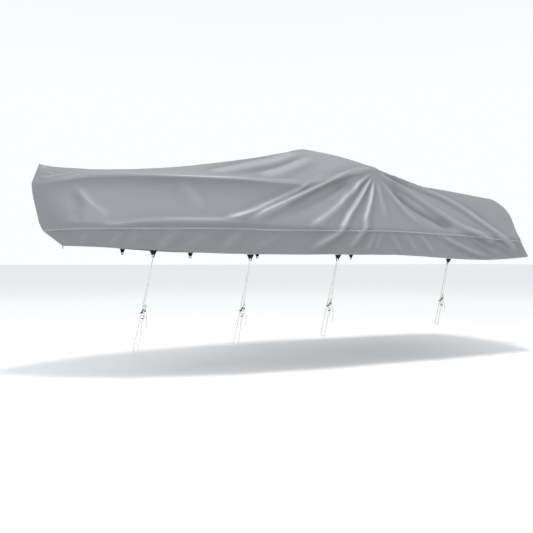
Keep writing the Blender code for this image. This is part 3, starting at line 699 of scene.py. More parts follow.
lift_grid = lift.reshape(plain.shape[:2])
crests = averaged(lift_grid - averaged(lift_grid, CREST_PASSES), CREST_SOFTENING).ravel()
print("crests stand", crests.min().round(4), "to", crests.max().round(4), "off their surroundings")

# %% [markdown]
# ## A map on the cloth
# The weave has to follow the cloth, so each point gets a place on it in metres: how far it is round the
# cover, and how far down from the ridge. An unwrap would give a map too, but not one in metres along the
# threads. The distance to the seam comes from the same map.

# %% Places on the cloth
shell = outer[numbers]
round_step = np.linalg.norm(np.diff(shell, axis=0), axis=2)
down_step = np.linalg.norm(np.diff(shell, axis=1), axis=2)
place_on_cloth = np.zeros((*shell.shape[:2], 2))
place_on_cloth[1:, :, 0] = np.cumsum(round_step, axis=0)
place_on_cloth[:, 1:, 1] = np.cumsum(down_step, axis=1)
place_on_cloth[STERN:, :, 1] *= -1

seam_place = place_on_cloth[:-1, SEAM_ROW:SEAM_ROW + 1, 1]
from_seam = np.abs(place_on_cloth[:-1, :, 1] - seam_place).ravel()
print("cloth round the seam", place_on_cloth[-1, SEAM_ROW, 0].round(2), "m")

# %% [markdown]
# ## Sheets
# A sheet is a strip of the grid with an outer and an inner face, walled along its free edges, so it is
# closed like a real sheet and has a thickness wherever its edge shows.

# %% Sheets
SHARP_FROM = radians(60)             # faces that meet at a greater turn keep a sharp edge


def mesh_with_map(name, points, faces, map_places):
    mesh = bpy.data.meshes.new(name)
    mesh.from_pydata(points.tolist(), [], faces)
    uv = mesh.uv_layers.new(name="cloth")
    uv.data.foreach_set("uv", np.asarray(map_places, np.float32).ravel())
    mesh.shade_smooth()
    mesh.set_sharp_from_angle(angle=SHARP_FROM)
    return mesh


def triangles_of(piece):
    return sum(len(face.vertices) - 2 for face in piece.data.polygons)


def sheet_mesh(name, outer, inner, strip, places, first, last):
    """A closed thin sheet between two rows of the strip of columns."""
    outside = corners_of(strip, first, last)
    outside_map = corners_of(places, first, last)
    edge, edge_map = strip[:, last], places[:, last]
    if first:
        edge, edge_map = (
            np.concatenate([
                grid[0, first:last], grid[:, last], grid[-1, last - 1:first:-1], grid[::-1, first],
            ])
            for grid in (strip, places)
        )
    used, shared = np.unique(outside, return_inverse=True)
    outside = shared.reshape(outside.shape)
    edge = np.searchsorted(used, edge)
    under = len(used)
    walls = np.stack([edge[1:], edge[:-1], edge[:-1] + under, edge[1:] + under], axis=1)
    wall_map = np.stack([edge_map[1:], edge_map[:-1], edge_map[:-1], edge_map[1:]], axis=1)
    faces = outside.tolist() + (outside[:, ::-1] + under).tolist() + walls.tolist()
    maps = np.concatenate([outside_map, outside_map[:, ::-1], wall_map]).reshape(-1, 2)
    mesh = mesh_with_map(name, np.concatenate([outer[used], inner[used]]), faces, maps)
    for key, values in (("crest", crests), ("from_seam", from_seam)):
        attribute = mesh.attributes.new(key, "FLOAT", "POINT")
        attribute.data.foreach_set("value", np.tile(values[used], 2).astype(np.float32))
    return mesh


print("a sheet has", len(corners_of(numbers, 0, SEAM_ROW)), "faces outside over the top")

# %% [markdown]
# ## Helpers for the finishes
# A finish is a tree of nodes. Most of them here begin alike: patches of noise, in the object's own metres,
# let the colour wander between a darker and a paler share of itself, because nothing that lives out of
# doors is one even colour. Fine relief is a bump, which tilts the surface for the light and moves no
# point. Threads a millimetre apart could be modelled too, but they would take millions of faces.

# %% Helpers for the finishes
def maths(tree, operation, *values):
    """A Math node. Each value is a socket or a number."""
    made = node(tree, "ShaderNodeMath", operation=operation)
    for socket, value in zip(made.inputs, values):
        if isinstance(value, (int, float)):
            socket.default_value = value
        else:
            tree.links.new(value, socket)
    return made.outputs[0]


def noise_of(tree, place, size, detail):
    made = node(tree, "ShaderNodeTexNoise")
    made.inputs["Scale"].default_value = 1 / size
    made.inputs["Detail"].default_value = detail
    tree.links.new(place, made.inputs["Vector"])
    return made.outputs["Fac"]


def bumped(tree, height, depth, on_top_of=None):
    made = node(tree, "ShaderNodeBump")
    made.inputs["Strength"].default_value = 1.0
    made.inputs["Distance"].default_value = depth
    tree.links.new(height, made.inputs["Height"])
    if on_top_of:
        tree.links.new(on_top_of, made.inputs["Normal"])
    return made.outputs["Normal"]


def scaled(tree, place, scale):
    made = node(tree, "ShaderNodeVectorMath", operation="MULTIPLY")
    made.inputs[1].default_value = scale
    tree.links.new(place, made.inputs[0])
    return made.outputs["Vector"]


def over_and_under(tree, place, pitch):
    """Height of a plain weave: threads one way show where those of the other way dive."""
    split = node(tree, "ShaderNodeSeparateXYZ")
    tree.links.new(place, split.inputs["Vector"])
    turn = pi / pitch
    across = maths(tree, "SINE", maths(tree, "MULTIPLY", split.outputs["X"], turn))
    down = maths(tree, "SINE", maths(tree, "MULTIPLY", split.outputs["Y"], turn))
    return maths(tree, "MULTIPLY", across, down)


def mottled(name, colour, roughness, patch_size, detail, shades, specular=0.5):
    """A finish whose colour wanders between two shares of itself. Gives it, its map and its patches."""
    made = new_material(name, colour, roughness, specular)
    tree = made.node_tree
    coords = node(tree, "ShaderNodeTexCoord")
    patches = noise_of(tree, coords.outputs["Object"], patch_size, detail)
    dark, pale = ([part * shade for part in colour] for shade in shades)
    tree.links.new(mixed_colour(tree, patches, dark, pale), shader_of(made).inputs["Base Color"])
    return made, coords.outputs, patches


def give_relief(material, height, depth):
    tree = material.node_tree
    tree.links.new(bumped(tree, height, depth), shader_of(material).inputs["Normal"])


print("finishes so far", [finish.name for finish in bpy.data.materials])

# %% [markdown]
# ## The cloth's finish
# Coated polyester is a tight plain weave under a thin skin of plastic. From a step away it is an even
# blue-grey with a soft shine, and close to, the weave still shows through the coating. Dust dulls it in
# wide patches and handling scuffs it in smaller ones. The weave is drawn on the cloth's own map, so it
# turns with the folds. The crests of the folds carry a painted highlight, which makes them paler, and they
# are smoother. Beside the seam the thread draws the cloth into small puckers, which are a stretched noise
# that dies away with the distance to the seam.

# %% Coated cloth
CLOTH_GREY = (0.141, 0.146, 0.157)
CLOTH_SHADES = (0.70, 1.30)          # shares of that grey at the two ends of its range
CLOTH_IOR = 1.45
DUST_SIZE, DUST_RANGE, DUSTY_LEAST = 0.7, 0.15, 0.425       # size of a patch, range of the shade, least
SCUFF_SIZE, SCUFF_RANGE, SCUFFED_LEAST = 0.18, 0.16, 0.37   # the same of the roughness
# painted highlight: the crests of the folds are made paler in the colour, as lit crests look
CREST_PAINTED_HIGHLIGHT = 80.0                   # how much paler a metre of crest would be, as a share of the range
CREST_POLISH = 6.0                   # how much smoother a metre of crest would be rubbed
LEAST_ROUGHNESS = 0.24
THREAD_PITCH = 0.0011                # from one thread to the next
WEAVE_DEPTH = 0.00006
PUCKER_SCALE = (22.0, 5.0, 1.0)      # puckers a metre, round the cover and down it
PUCKER_REACH = 0.045                 # distance from the seam over which they die away
PUCKER_DEPTH = 0.030

cloth_finish = new_material("coated polyester", CLOTH_GREY, roughness=0.46, specular=0.4)
tree = cloth_finish.node_tree
shader = shader_of(cloth_finish)
shader.inputs["IOR"].default_value = CLOTH_IOR
coords = node(tree, "ShaderNodeTexCoord")
crest, seam = (
    node(tree, "ShaderNodeAttribute", attribute_name=name).outputs["Fac"] for name in ("crest", "from_seam")
)
dust = noise_of(tree, coords.outputs["Object"], DUST_SIZE, detail=4)
shade = maths(tree, "MULTIPLY_ADD", dust, DUST_RANGE, DUSTY_LEAST)
# painted highlight along the crests of the folds, added to the share of the colour
shade = maths(tree, "MULTIPLY_ADD", crest, CREST_PAINTED_HIGHLIGHT, shade)
dark, pale = ([part * share for part in CLOTH_GREY] for share in CLOTH_SHADES)
tree.links.new(mixed_colour(tree, shade, dark, pale), shader.inputs["Base Color"])
scuff = noise_of(tree, coords.outputs["Object"], SCUFF_SIZE, detail=3)
rough = maths(tree, "MULTIPLY_ADD", scuff, SCUFF_RANGE, SCUFFED_LEAST)
polished = maths(tree, "MULTIPLY_ADD", crest, -CREST_POLISH, rough)
tree.links.new(maths(tree, "MAXIMUM", polished, LEAST_ROUGHNESS), shader.inputs["Roughness"])
weave = bumped(tree, over_and_under(tree, coords.outputs["UV"], THREAD_PITCH), WEAVE_DEPTH)
puckers = noise_of(tree, scaled(tree, coords.outputs["UV"], PUCKER_SCALE), size=1.0, detail=2)
held = maths(tree, "EXPONENT", maths(tree, "MULTIPLY", seam, -1 / PUCKER_REACH))
puckered = bumped(tree, maths(tree, "MULTIPLY", puckers, held), PUCKER_DEPTH, weave)
tree.links.new(puckered, shader.inputs["Normal"])
print("cloth finish nodes", len(tree.nodes))

# %% [markdown]
# ## Top cloth and skirts
# The top cloth runs over the whole cover down to the seam. The skirts start just below it and end in a
# hem, which is the cloth turned up on itself and so stands a little thicker. They meet at stem and stern
# with a hair's breadth between them, so that no two faces lie in one place.

# %% Build the three sheets
SEAM_GAP = 0.0008                    # between the skirt and the top cloth, and between the two skirts
HEM_WIDTH = 0.035
HEM_THICKENING = 0.0012              # on either face, from the layers that are turned up
HEM_ROUNDING = 0.006                 # width of the step where they end

top_sheet = add_object(
    "top_cloth_sheet",
    sheet_mesh("top_cloth_sheet", outer, inner, numbers, place_on_cloth, 0, SEAM_ROW),
    cloth_finish,
)
skirts = {}
for name, side, strip, places in (
    ("skirt_port", -1, numbers[:STERN + 1], place_on_cloth[:STERN + 1]),
    ("skirt_starboard", 1, numbers[STERN:], place_on_cloth[STERN:]),
):
    faces = []
    from_hem = np.abs(places[:, HEM_ROW:HEM_ROW + 1, 1] - places[:, SEAM_ROW:, 1])
    thick = HEM_THICKENING * ease((HEM_WIDTH - from_hem) / HEM_ROUNDING + 0.5)
    for points, sense in ((outer.copy(), 1), (inner.copy(), -1)):
        strip_points = strip[:, SEAM_ROW:]
        points[strip_points] += sense * thick[..., None] * outer_normals[strip_points]
        down = points[strip[:, SEAM_ROW + 1]] - points[strip[:, SEAM_ROW]]
        points[strip[:, SEAM_ROW]] += SEAM_GAP * unit(down)
        for end in (0, -1):
            points[strip[end, SEAM_ROW:], 1] = side * SEAM_GAP / 2
        faces.append(points)
    mesh = sheet_mesh(name + "_sheet", *faces, strip, places, SEAM_ROW, HEM_ROW)
    skirts[name] = add_object(name + "_sheet", mesh, cloth_finish)
for piece in (top_sheet, *skirts.values()):
    print(piece.name, "triangles", triangles_of(piece))

# %% [markdown]
# ## Skins over rings
# Long pieces of one section are made as a skin over rings of points: the seam's welt, the tabs, the ropes
# and the hooks. A curve with a bevel would do for a plain rope, but a skin takes any section, lets it turn
# or taper on the way, and has a map of metres along the piece.

# %% Skins over rings
def lofted(name, rings, places, finish, closed=False):
    """A skin over rings of points, which either closes on itself or has two flat ends."""
    count, sides = rings.shape[:2]
    index = np.arange(count * sides).reshape(count, sides)
    index = np.hstack([index, index[:, :1]])
    if closed:
        index = np.vstack([index, index[:1]])
    faces = corners_of(index, 0, sides).tolist()
    maps = corners_of(places, 0, sides).reshape(-1, 2)
    if not closed:
        faces += [index[0, -2::-1].tolist(), index[-1, :-1].tolist()]
        maps = np.vstack([maps, np.zeros((2 * sides, 2))])
    return add_object(name, mesh_with_map(name, rings.reshape(-1, 3), faces, maps), finish)


def bar_map(lengths, sides):
    """Places on the skin of a bar: how far along it, and the share of the way round it."""
    return np.stack(np.meshgrid(lengths, np.arange(sides + 1) / sides, indexing="ij"), axis=-1)


print("map of a square bar", bar_map([0.0, 1.0], 4).shape)

# %% [markdown]
# ## The seam's welt
# Where the skirt is sewn on, both edges are folded under one strip of tape and stitched down twice. That
# seam is four layers thick and stiffer than the cloth, so it stands up as a narrow welt all the way round
# and catches a line of light. The thread draws the tape into small ripples across it.

# %% Welt of the seam
#    down the cloth, off the cloth
WELT_SECTION = (
    (-0.0075, -0.0010), (-0.0070, 0.0014), (-0.0045, 0.0024), (0.0045, 0.0024),
    (0.0070, 0.0014), (0.0075, -0.0010),
)
TAPE_GREY = (0.215, 0.222, 0.236)
RIPPLE_SCALE = (1 / 0.012, 2.0, 1.0)  # ripples a metre along the tape, and across it
RIPPLE_DEPTH = 0.0015

tape_finish, places, _ = mottled(
    "seam tape", TAPE_GREY, roughness=0.45, patch_size=0.25, detail=3, shades=(0.8, 1.2)
)
tree = tape_finish.node_tree
ripples = noise_of(tree, scaled(tree, places["UV"], RIPPLE_SCALE), size=1.0, detail=2)
give_relief(tape_finish, ripples, RIPPLE_DEPTH)


def on_lines(rows, off=0.0):
    """Points on the outer face along a row of the grid, once round, lifted that far off it."""
    line = numbers[:-1, rows]
    return outer[line] + off * outer_normals[line]


seam_down = unit(on_lines(SEAM_ROW + 1) - on_lines(SEAM_ROW - 1))
seam_out = outer_normals[numbers[:-1, SEAM_ROW]]
welt_rings = np.stack(
    [on_lines(SEAM_ROW) + down * seam_down + off * seam_out for down, off in WELT_SECTION], axis=1
)
welt_map = bar_map(place_on_cloth[:, SEAM_ROW, 0], len(WELT_SECTION))
welt = lofted("seam_welt", welt_rings[:, ::-1], welt_map, tape_finish, closed=True)
print("welt", len(welt.data.polygons), "faces")

# %% [markdown]
# ## A tree that sews
# A lockstitch shows as a row of short bobbins, each pulled a little into the cloth. There are thousands,
# too many to set by hand, so a small tree of geometry nodes walks a line in steps of one stitch and lays a
# bead along it at each step. An Array with a Curve modifier would follow a line too, but it would bend
# each stitch. The tree ends by making the beads real, so that they are a mesh with their own material.

# %% Stitch tree
STITCH_SIZES = {"Pitch": 0.009, "Length": 0.0062, "Width": 0.0016}
BEAD_SEGMENTS, BEAD_RINGS = 6, 3
THREAD_GREY = (0.25, 0.255, 0.27)
thread_finish, _, _ = mottled(
    "stitch thread", THREAD_GREY, roughness=0.6, patch_size=0.05, detail=2, shades=(0.7, 1.3)
)


def stitch_tree():
    tree = bpy.data.node_groups.new("stitches", "GeometryNodeTree")
    tree.interface.new_socket("Line", in_out="INPUT", socket_type="NodeSocketGeometry")
    for size in STITCH_SIZES:
        tree.interface.new_socket(size, in_out="INPUT", socket_type="NodeSocketFloat")
    tree.interface.new_socket("Stitches", in_out="OUTPUT", socket_type="NodeSocketGeometry")
    given, sewn = (node(tree, kind) for kind in ("NodeGroupInput", "NodeGroupOutput"))
    line = node(tree, "GeometryNodeMeshToCurve")
    steps = node(tree, "GeometryNodeResampleCurve", mode="LENGTH")
    bead = node(tree, "GeometryNodeMeshUVSphere")
    bead.inputs["Segments"].default_value = BEAD_SEGMENTS
    bead.inputs["Rings"].default_value = BEAD_RINGS
    bead.inputs["Radius"].default_value = 0.5
    extent = node(tree, "ShaderNodeCombineXYZ")
    shape = node(tree, "GeometryNodeTransform")
    way = node(tree, "GeometryNodeInputTangent")
    turn = node(tree, "FunctionNodeAlignRotationToVector", axis="Z")
    laid = node(tree, "GeometryNodeInstanceOnPoints")
    real = node(tree, "GeometryNodeRealizeInstances")
    finish = node(tree, "GeometryNodeSetMaterial")
    finish.inputs["Material"].default_value = thread_finish
    for source, target in (
        (given.outputs["Line"], line.inputs["Mesh"]),
        (line.outputs["Curve"], steps.inputs["Curve"]),
        (given.outputs["Pitch"], steps.inputs["Length"]),
        (given.outputs["Width"], extent.inputs["X"]),
        (given.outputs["Width"], extent.inputs["Y"]),
        (given.outputs["Length"], extent.inputs["Z"]),
        (steps.outputs["Curve"], laid.inputs["Points"]),
        (bead.outputs["Mesh"], shape.inputs["Geometry"]),
        (extent.outputs["Vector"], shape.inputs["Scale"]),
        (shape.outputs["Geometry"], laid.inputs["Instance"]),
        (way.outputs["Tangent"], turn.inputs["Vector"]),
        (turn.outputs["Rotation"], laid.inputs["Rotation"]),
        (laid.outputs["Instances"], real.inputs["Geometry"]),
        (real.outputs["Geometry"], finish.inputs["Geometry"]),
        (finish.outputs["Geometry"], sewn.inputs["Stitches"]),
    ):
        tree.links.new(source, target)
    return tree


stitches = stitch_tree()
print("stitch tree nodes", len(stitches.nodes))

# %% [markdown]
# ## Rows of stitches
# The welt carries two rows, which hold the four layers together, and the hem has one, near its upper edge.
# The tree needs lines of edges to walk along, so each row starts as a mesh with no faces. The finished
# stitches are read from the evaluated object, and the line and its modifier are then thrown away.

# %% Rows of stitches
WELT_ROWS, WELT_ROWS_OFF = (-0.0036, 0.0036), 0.0026        # down the cloth from the seam, off the cloth
HEM_STITCH_ROW, HEM_STITCHES_OFF = HEM_ROW - 3, 0.0004      # row of the grid, off the hem


def sewn_on(name, lines):
    """Stitches along closed lines of points, as one mesh."""
    points, edges = [], []
    for line in lines:
        first = len(points)
        points += line.tolist()
        edges += [(i, i + 1) for i in range(first, len(points) - 1)] + [(len(points) - 1, first)]
    rails = bpy.data.meshes.new(name + "_lines")
    rails.from_pydata(points, edges, [])
    holder = add_object(name + "_lines", rails)
    walk = holder.modifiers.new("stitches", "NODES")
    walk.node_group = stitches
    for size, value in STITCH_SIZES.items():
        walk[stitches.interface.items_tree[size].identifier] = value
    walked = holder.evaluated_get(bpy.context.evaluated_depsgraph_get())
    made = bpy.data.meshes.new_from_object(walked)
    holder.modifiers.clear()
    bpy.data.objects.remove(holder)
    made.name = name
    return add_object(name, made)


welt_rows = [on_lines(SEAM_ROW, WELT_ROWS_OFF) + down * seam_down for down in WELT_ROWS]
seam_stitches = sewn_on("seam_stitches", welt_rows)
hem_row = on_lines(HEM_STITCH_ROW, HEM_THICKENING + HEM_STITCHES_OFF)
hem_stitches = sewn_on("hem_stitches", [hem_row])
for piece in (seam_stitches, hem_stitches):
    print(piece.name, "triangles", triangles_of(piece))

# %% [markdown]
# ## Webbing
# Webbing is woven of thick yarns, so its ribs show where the cloth's don't. They are drawn on the flat
# shape of the tab, in metres, and follow it however it hangs. Black that is used out of doors fades in
# patches.

# %% Webbing
WEBBING_BLACK = (0.006, 0.006, 0.007)
WEBBING_PITCH = 0.0022               # from one yarn of the webbing to the next
WEBBING_DEPTH = 0.0005
webbing, places, _ = mottled(
    "black webbing", WEBBING_BLACK, roughness=0.8, patch_size=0.02, detail=3, shades=(0.6, 1.5),
    specular=0.15,
)
give_relief(webbing, over_and_under(webbing.node_tree, places["UV"], WEBBING_PITCH), WEBBING_DEPTH)
print("webbing nodes", len(webbing.node_tree.nodes))

# %% [markdown]
# ## A tab
# Each tab is webbing, folded to a taper and sewn into the hem, with an eye at its foot for the rope. Its
# shape is a ring between two outlines, the eye and the edge of the webbing, so it is drawn as rays from
# the middle of the eye, with a ray to each corner. A Boolean could cut the eye out of a plain shape, but
# it would leave long thin faces that shade badly. The rim of the eye stands up, as a pressed eyelet does.

# %% A tab
Tab = namedtuple("Tab", "top_width foot_width drop eye_radius eye_height")
TAB = Tab(0.088, 0.034, 0.080, 0.0100, 0.022)
BOW_TAB = Tab(0.040, 0.016, 0.036, 0.0065, 0.015)
TAB_THICKNESS = 0.004
TAB_RAYS, RAYS_TURNED = 72, 0.003    # turned by a hair, so that none falls on a corner's own ray
#    share of the way from the eye to the edge, share of the thickness
TAB_RINGS = (
    (0.0, 0.35), (0.02, 0.85), (0.08, 1.3), (0.20, 1.3), (0.26, 1.0), (0.85, 1.0), (0.93, 0.9),
    (0.985, 0.7), (1.0, 0.3),
)


def tab_outline(sizes):
    """The edge of the webbing round the middle of its eye, as points across and down."""
    top, low = sizes.eye_height - sizes.drop, sizes.eye_height
    half, foot, corner = sizes.top_width / 2, sizes.foot_width / 2, sizes.foot_width / 4
    waist = -sizes.eye_radius / 5
    return [
        (-half, top), (half, top), (foot, waist), (foot, low - corner), (corner, low),
        (-corner, low), (-foot, low - corner), (-foot, waist),
    ]


def ray_length(angle, outline):
    """How far the edge of an outline is from its middle in that direction."""
    run = np.array([cos(angle), sin(angle)])
    lengths = []
    for a, b in zip(outline, outline[1:] + outline[:1]):
        side = np.subtract(b, a)
        turn = run[0] * side[1] - run[1] * side[0]
        if abs(turn) < 1e-12:
            continue
        length = (a[0] * side[1] - a[1] * side[0]) / turn
        share = (a[0] * run[1] - a[1] * run[0]) / turn
        if length > 0 and -1e-9 <= share <= 1 + 1e-9:
            lengths.append(length)
    return min(lengths)


def tab(name, sizes, middle, sideways, down, out):
    """A tab that hangs from the middle of its top edge. Gives the tab and the middle of its eye."""
    sideways = unit(sideways)
    down = unit(down - (down @ sideways) * sideways)
    through = np.cross(sideways, down)
    through *= np.sign(through @ out)
    outline = tab_outline(sizes)
    corners = [float(np.arctan2(y, x)) for x, y in outline]
    angles = sorted([*np.linspace(-pi, pi, TAB_RAYS, endpoint=False) + RAYS_TURNED, *corners])
    edges = np.array([ray_length(angle, outline) for angle in angles])
    centre = middle - (sizes.eye_height - sizes.drop) * down
    section = [*TAB_RINGS, *((share, -thick) for share, thick in reversed(TAB_RINGS))]
    shares, thick = np.array(section).T
    reach = sizes.eye_radius + np.outer(edges - sizes.eye_radius, shares)
    flat = reach[..., None] * np.stack([np.cos(angles), np.sin(angles)], axis=1)[:, None]
    rings = centre + flat @ np.array([sideways, down]) + TAB_THICKNESS / 2 * np.outer(thick, through)
    if np.cross(sideways, down) @ through < 0:
        rings, flat = rings[:, ::-1], flat[:, ::-1]
    places = np.pad(flat, ((0, 1), (0, 1), (0, 0)), mode="wrap")
    return lofted(name, rings, places, webbing, closed=True), centre


print("corners of a tab", np.round(tab_outline(TAB), 3).tolist())

# %% [markdown]
# ## The ties
# The tabs and the ropes' feet follow what the cover is tied to, so each has its place in a table and no
# rule. The port tabs are pulled towards the foot of their rope. The starboard ones and the one at the
# stem have no rope and hang straight down. Each hangs just clear of the hem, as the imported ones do.

# %% Hang the tabs
PACKED_CLOTH, PACKED_GAP = 0.003, 0.0008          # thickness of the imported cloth, gap between its parts
Tie = namedtuple("Tie", "tab_x foot_x foot_breadth foot_height foot_turn turned_aft hook_share tail")
#    tab     foot of the loop: x, breadth, height, radius, turned aft     hook's share of the way     tail
TIES = (
    Tie(-2.295, -2.448, 0.500, -1.035, 0.046, radians(15), 0.615, 0.110),
    Tie(-1.243, -1.314, 0.760, -0.980, 0.032, radians(28), 0.620, 0.120),
    Tie(-0.128, -0.148, 0.810, -0.928, 0.030, radians(35), 0.620, 0.130),
    Tie(1.592, 1.580, 0.930, -0.840, 0.026, radians(0), 0.640, 0.075),
)


def foot_of(tie):
    """The foot of a rope's loop."""
    return np.array([tie.foot_x, -tie.foot_breadth, tie.foot_height - PEAK_HEIGHT])


def under_hem(hem, x):
    """The middle of a tab's top edge, just clear of the hem, and the way that the edge runs."""
    half = TAB.top_width / 2
    along = x + np.array([-half, -half / 2, 0, half / 2, half])
    breadth, height = (np.interp(along, hem[:, 0], hem[:, axis]) for axis in (1, 2))
    ends = np.column_stack([along, breadth, height])
    level = np.linspace(ends[0], ends[-1], len(ends))
    clear = np.max(level[:, 2] - ends[:, 2]) + PACKED_CLOTH / 2 + PACKED_GAP
    return level[2] + clear * straight_down, ends[-1] - ends[0]


straight_down = np.array([0.0, 0.0, -1.0])
hem_points = numbers[:, HEM_ROW]
packed_hem = outer[hem_points] - SHOWN_CLOTH / 2 * outer_normals[hem_points]
tabs, eyes = {}, {}
for side, name in ((-1, "port"), (1, "starboard")):
    hem = packed_hem[:STERN + 1] if side < 0 else packed_hem[:STERN - 1:-1]
    for number, tie in enumerate(TIES, 1):
        middle, sideways = under_hem(hem, tie.tab_x)
        hang = foot_of(tie) - middle if side < 0 else straight_down
        key = f"tab_{name}_{number}"
        tabs[key], eyes[key] = tab(key + "_webbing", TAB, middle, sideways, hang, (0, side, 0))
tip = packed_hem[0] + straight_down * (PACKED_CLOTH + PACKED_GAP)
tabs["tab_bow"], eyes["tab_bow"] = tab(
    "tab_bow_webbing", BOW_TAB, tip, (0.0, 1.0, 0.0), straight_down, (-1, 0, 0)
)
for key, eye in eyes.items():
    low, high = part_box(key)
    print(key, "eye", eye.round(4), "packed top", round(high[2], 4))

# %% [markdown]
# ## Skins of ropes and bars
# Laid rope is three strands twisted round each other, so its section is three lobes that turn as they go
# along. Each ring of points stands square to the course, and two rings side by side turn as little as they
# can, so that only the lay turns. A hook's bar is plain and round, and its ends are rounded off.

# %% Skins of ropes and bars
ROPE_DIAMETER = 0.012
ROPE_SIDES = 18
STRANDS, LAY_LENGTH = 3, 0.042       # length of rope in which a strand goes once round
LEAST_LOBE = 0.72                    # radius at the grooves between the strands, as a share of the rope's
HOOK_BAR = 0.0065                    # radius of the bar
HOOK_SIDES = 16
BAR_END = (20, 45, 70)               # degrees round the end of the bar at which it has a ring of points
FIRST_ACROSS = (0.3, 0.9, 0.1)       # any direction that no course starts in


def frames_along(path):
    """The run of a path, and two directions square to it that turn as little as they can."""
    run = unit(np.gradient(path, axis=0))
    across = [unit(np.cross(run[0], FIRST_ACROSS))]
    for here in run[1:]:
        across.append(unit(across[-1] - (across[-1] @ here) * here))
    return run, np.array(across), np.cross(run, across)


def lobe(angle):
    """Radius of a laid rope at that angle from the middle of a strand, for a rope of radius 1."""
    strand = 1 / (1 + 2 / 3 ** 0.5)              # radius of each of three strands that touch inside it
    off = 1 - strand
    reach = off * np.cos(angle) + np.sqrt(np.maximum(0, strand ** 2 - (off * np.sin(angle)) ** 2))
    return np.maximum(reach, LEAST_LOBE)


def rings_about(centres, radii, across, beside):
    """Rings of points about those centres, with one radius for each point."""
    angle = np.arange(radii.shape[1]) * 2 * pi / radii.shape[1]
    spokes = np.cos(angle)[:, None] * across[:, None] + np.sin(angle)[:, None] * beside[:, None]
    return centres[:, None] + radii[..., None] * spokes


def laid_rope(name, path, finish):
    run, across, beside = frames_along(path)
    length = length_along(path)
    angle = np.arange(ROPE_SIDES) * 2 * pi / ROPE_SIDES
    sector = 2 * pi / STRANDS
    turned = angle - (2 * pi * length / LAY_LENGTH)[:, None]
    radii = ROPE_DIAMETER / 2 * lobe((turned + sector / 2) % sector - sector / 2)
    rings = rings_about(path, radii, across, beside)
    return lofted(name, rings, bar_map(length, ROPE_SIDES), finish)


def round_bar(name, path, finish):
    """A moulded bar with rounded ends."""
    run, across, beside = frames_along(path)
    turns = np.radians(BAR_END)
    whole, last = np.arange(len(path)), len(path) - 1
    spots = np.concatenate([np.full(len(turns), 0), whole, np.full(len(turns), last)])
    radii = HOOK_BAR * np.concatenate([np.sin(turns), np.ones(len(path)), np.sin(turns[::-1])])
    past = HOOK_BAR / 2 * np.concatenate([-np.cos(turns), np.zeros(len(path)), np.cos(turns[::-1])])
    centres = path[spots] + past[:, None] * run[spots]
    radii = np.repeat(radii[:, None], HOOK_SIDES, axis=1)
    rings = rings_about(centres, radii, across[spots], beside[spots])
    return lofted(name, rings, bar_map(length_along(centres), HOOK_SIDES), finish)


print("radius of the rope, as a share,", lobe(pi / STRANDS), "to", lobe(0.0))

# %% [markdown]
# ## Finishes of the ropes and hooks
# The rope is white polypropylene. Its yarns run almost straight along it, across the lay of the strands,
# and show as fine ridges, which a sine of the place round the rope gives. Grime greys it in short patches.
# The hooks are black moulded plastic with a fine grain, rubbed smoother in places.

# %% Finishes of the ropes and hooks
ROPE_WHITE = (0.50, 0.50, 0.485)
YARNS, YARN_DEPTH = 30, 0.0003       # yarns round the rope, and how far they stand out
HOOK_BLACK = (0.005, 0.005, 0.006)
RUB_RANGE, RUBBED_LEAST = 0.3, 0.27  # of the hooks' roughness
GRAIN_SIZE, GRAIN_DEPTH = 0.0008, 0.0001

rope_finish, places, _ = mottled(
    "white laid rope", ROPE_WHITE, roughness=0.8, patch_size=0.03, detail=3, shades=(0.75, 1.25)
)
tree = rope_finish.node_tree
split = node(tree, "ShaderNodeSeparateXYZ")
tree.links.new(places["UV"], split.inputs["Vector"])
yarns = maths(tree, "SINE", maths(tree, "MULTIPLY", split.outputs["Y"], 2 * pi * YARNS))
give_relief(rope_finish, yarns, YARN_DEPTH)

hook_finish, places, rubbed = mottled(
    "black moulded plastic", HOOK_BLACK, roughness=0.42, patch_size=0.012, detail=3, shades=(0.6, 1.4),
    specular=0.25,
)
tree = hook_finish.node_tree
roughness = maths(tree, "MULTIPLY_ADD", rubbed, RUB_RANGE, RUBBED_LEAST)
tree.links.new(roughness, shader_of(hook_finish).inputs["Roughness"])
give_relief(hook_finish, noise_of(tree, places["Object"], GRAIN_SIZE, detail=1), GRAIN_DEPTH)
print("rope nodes", len(rope_finish.node_tree.nodes), "hook nodes", len(tree.nodes))

# %% [markdown]
# ## How a loop and its hook hang
# A rope is drawn tight between its tab and its foot, so both runs of its loop are straight, and they draw
# together or apart from the turn in the tab's eye to the turn at the foot. The hook lies against the
# outboard run. Its bar, the rope on it and the knot are all given in the hook's own directions, aft, down
# the rope and outboard, because each of the four ropes slants in its own way.

# %% Loops and hooks
ROPE_TURN = 0.026                    # radius of the rope's turn in the tab's eye
EYE_TURNED = radians(25)             # how far that turn faces forward of square to the cover's side
HOOK_TURNED = radians(10)            # how far the hook's aft side turns outboard
HOOK_FORWARD = 0.008                 # how far forward of the rope its middle is


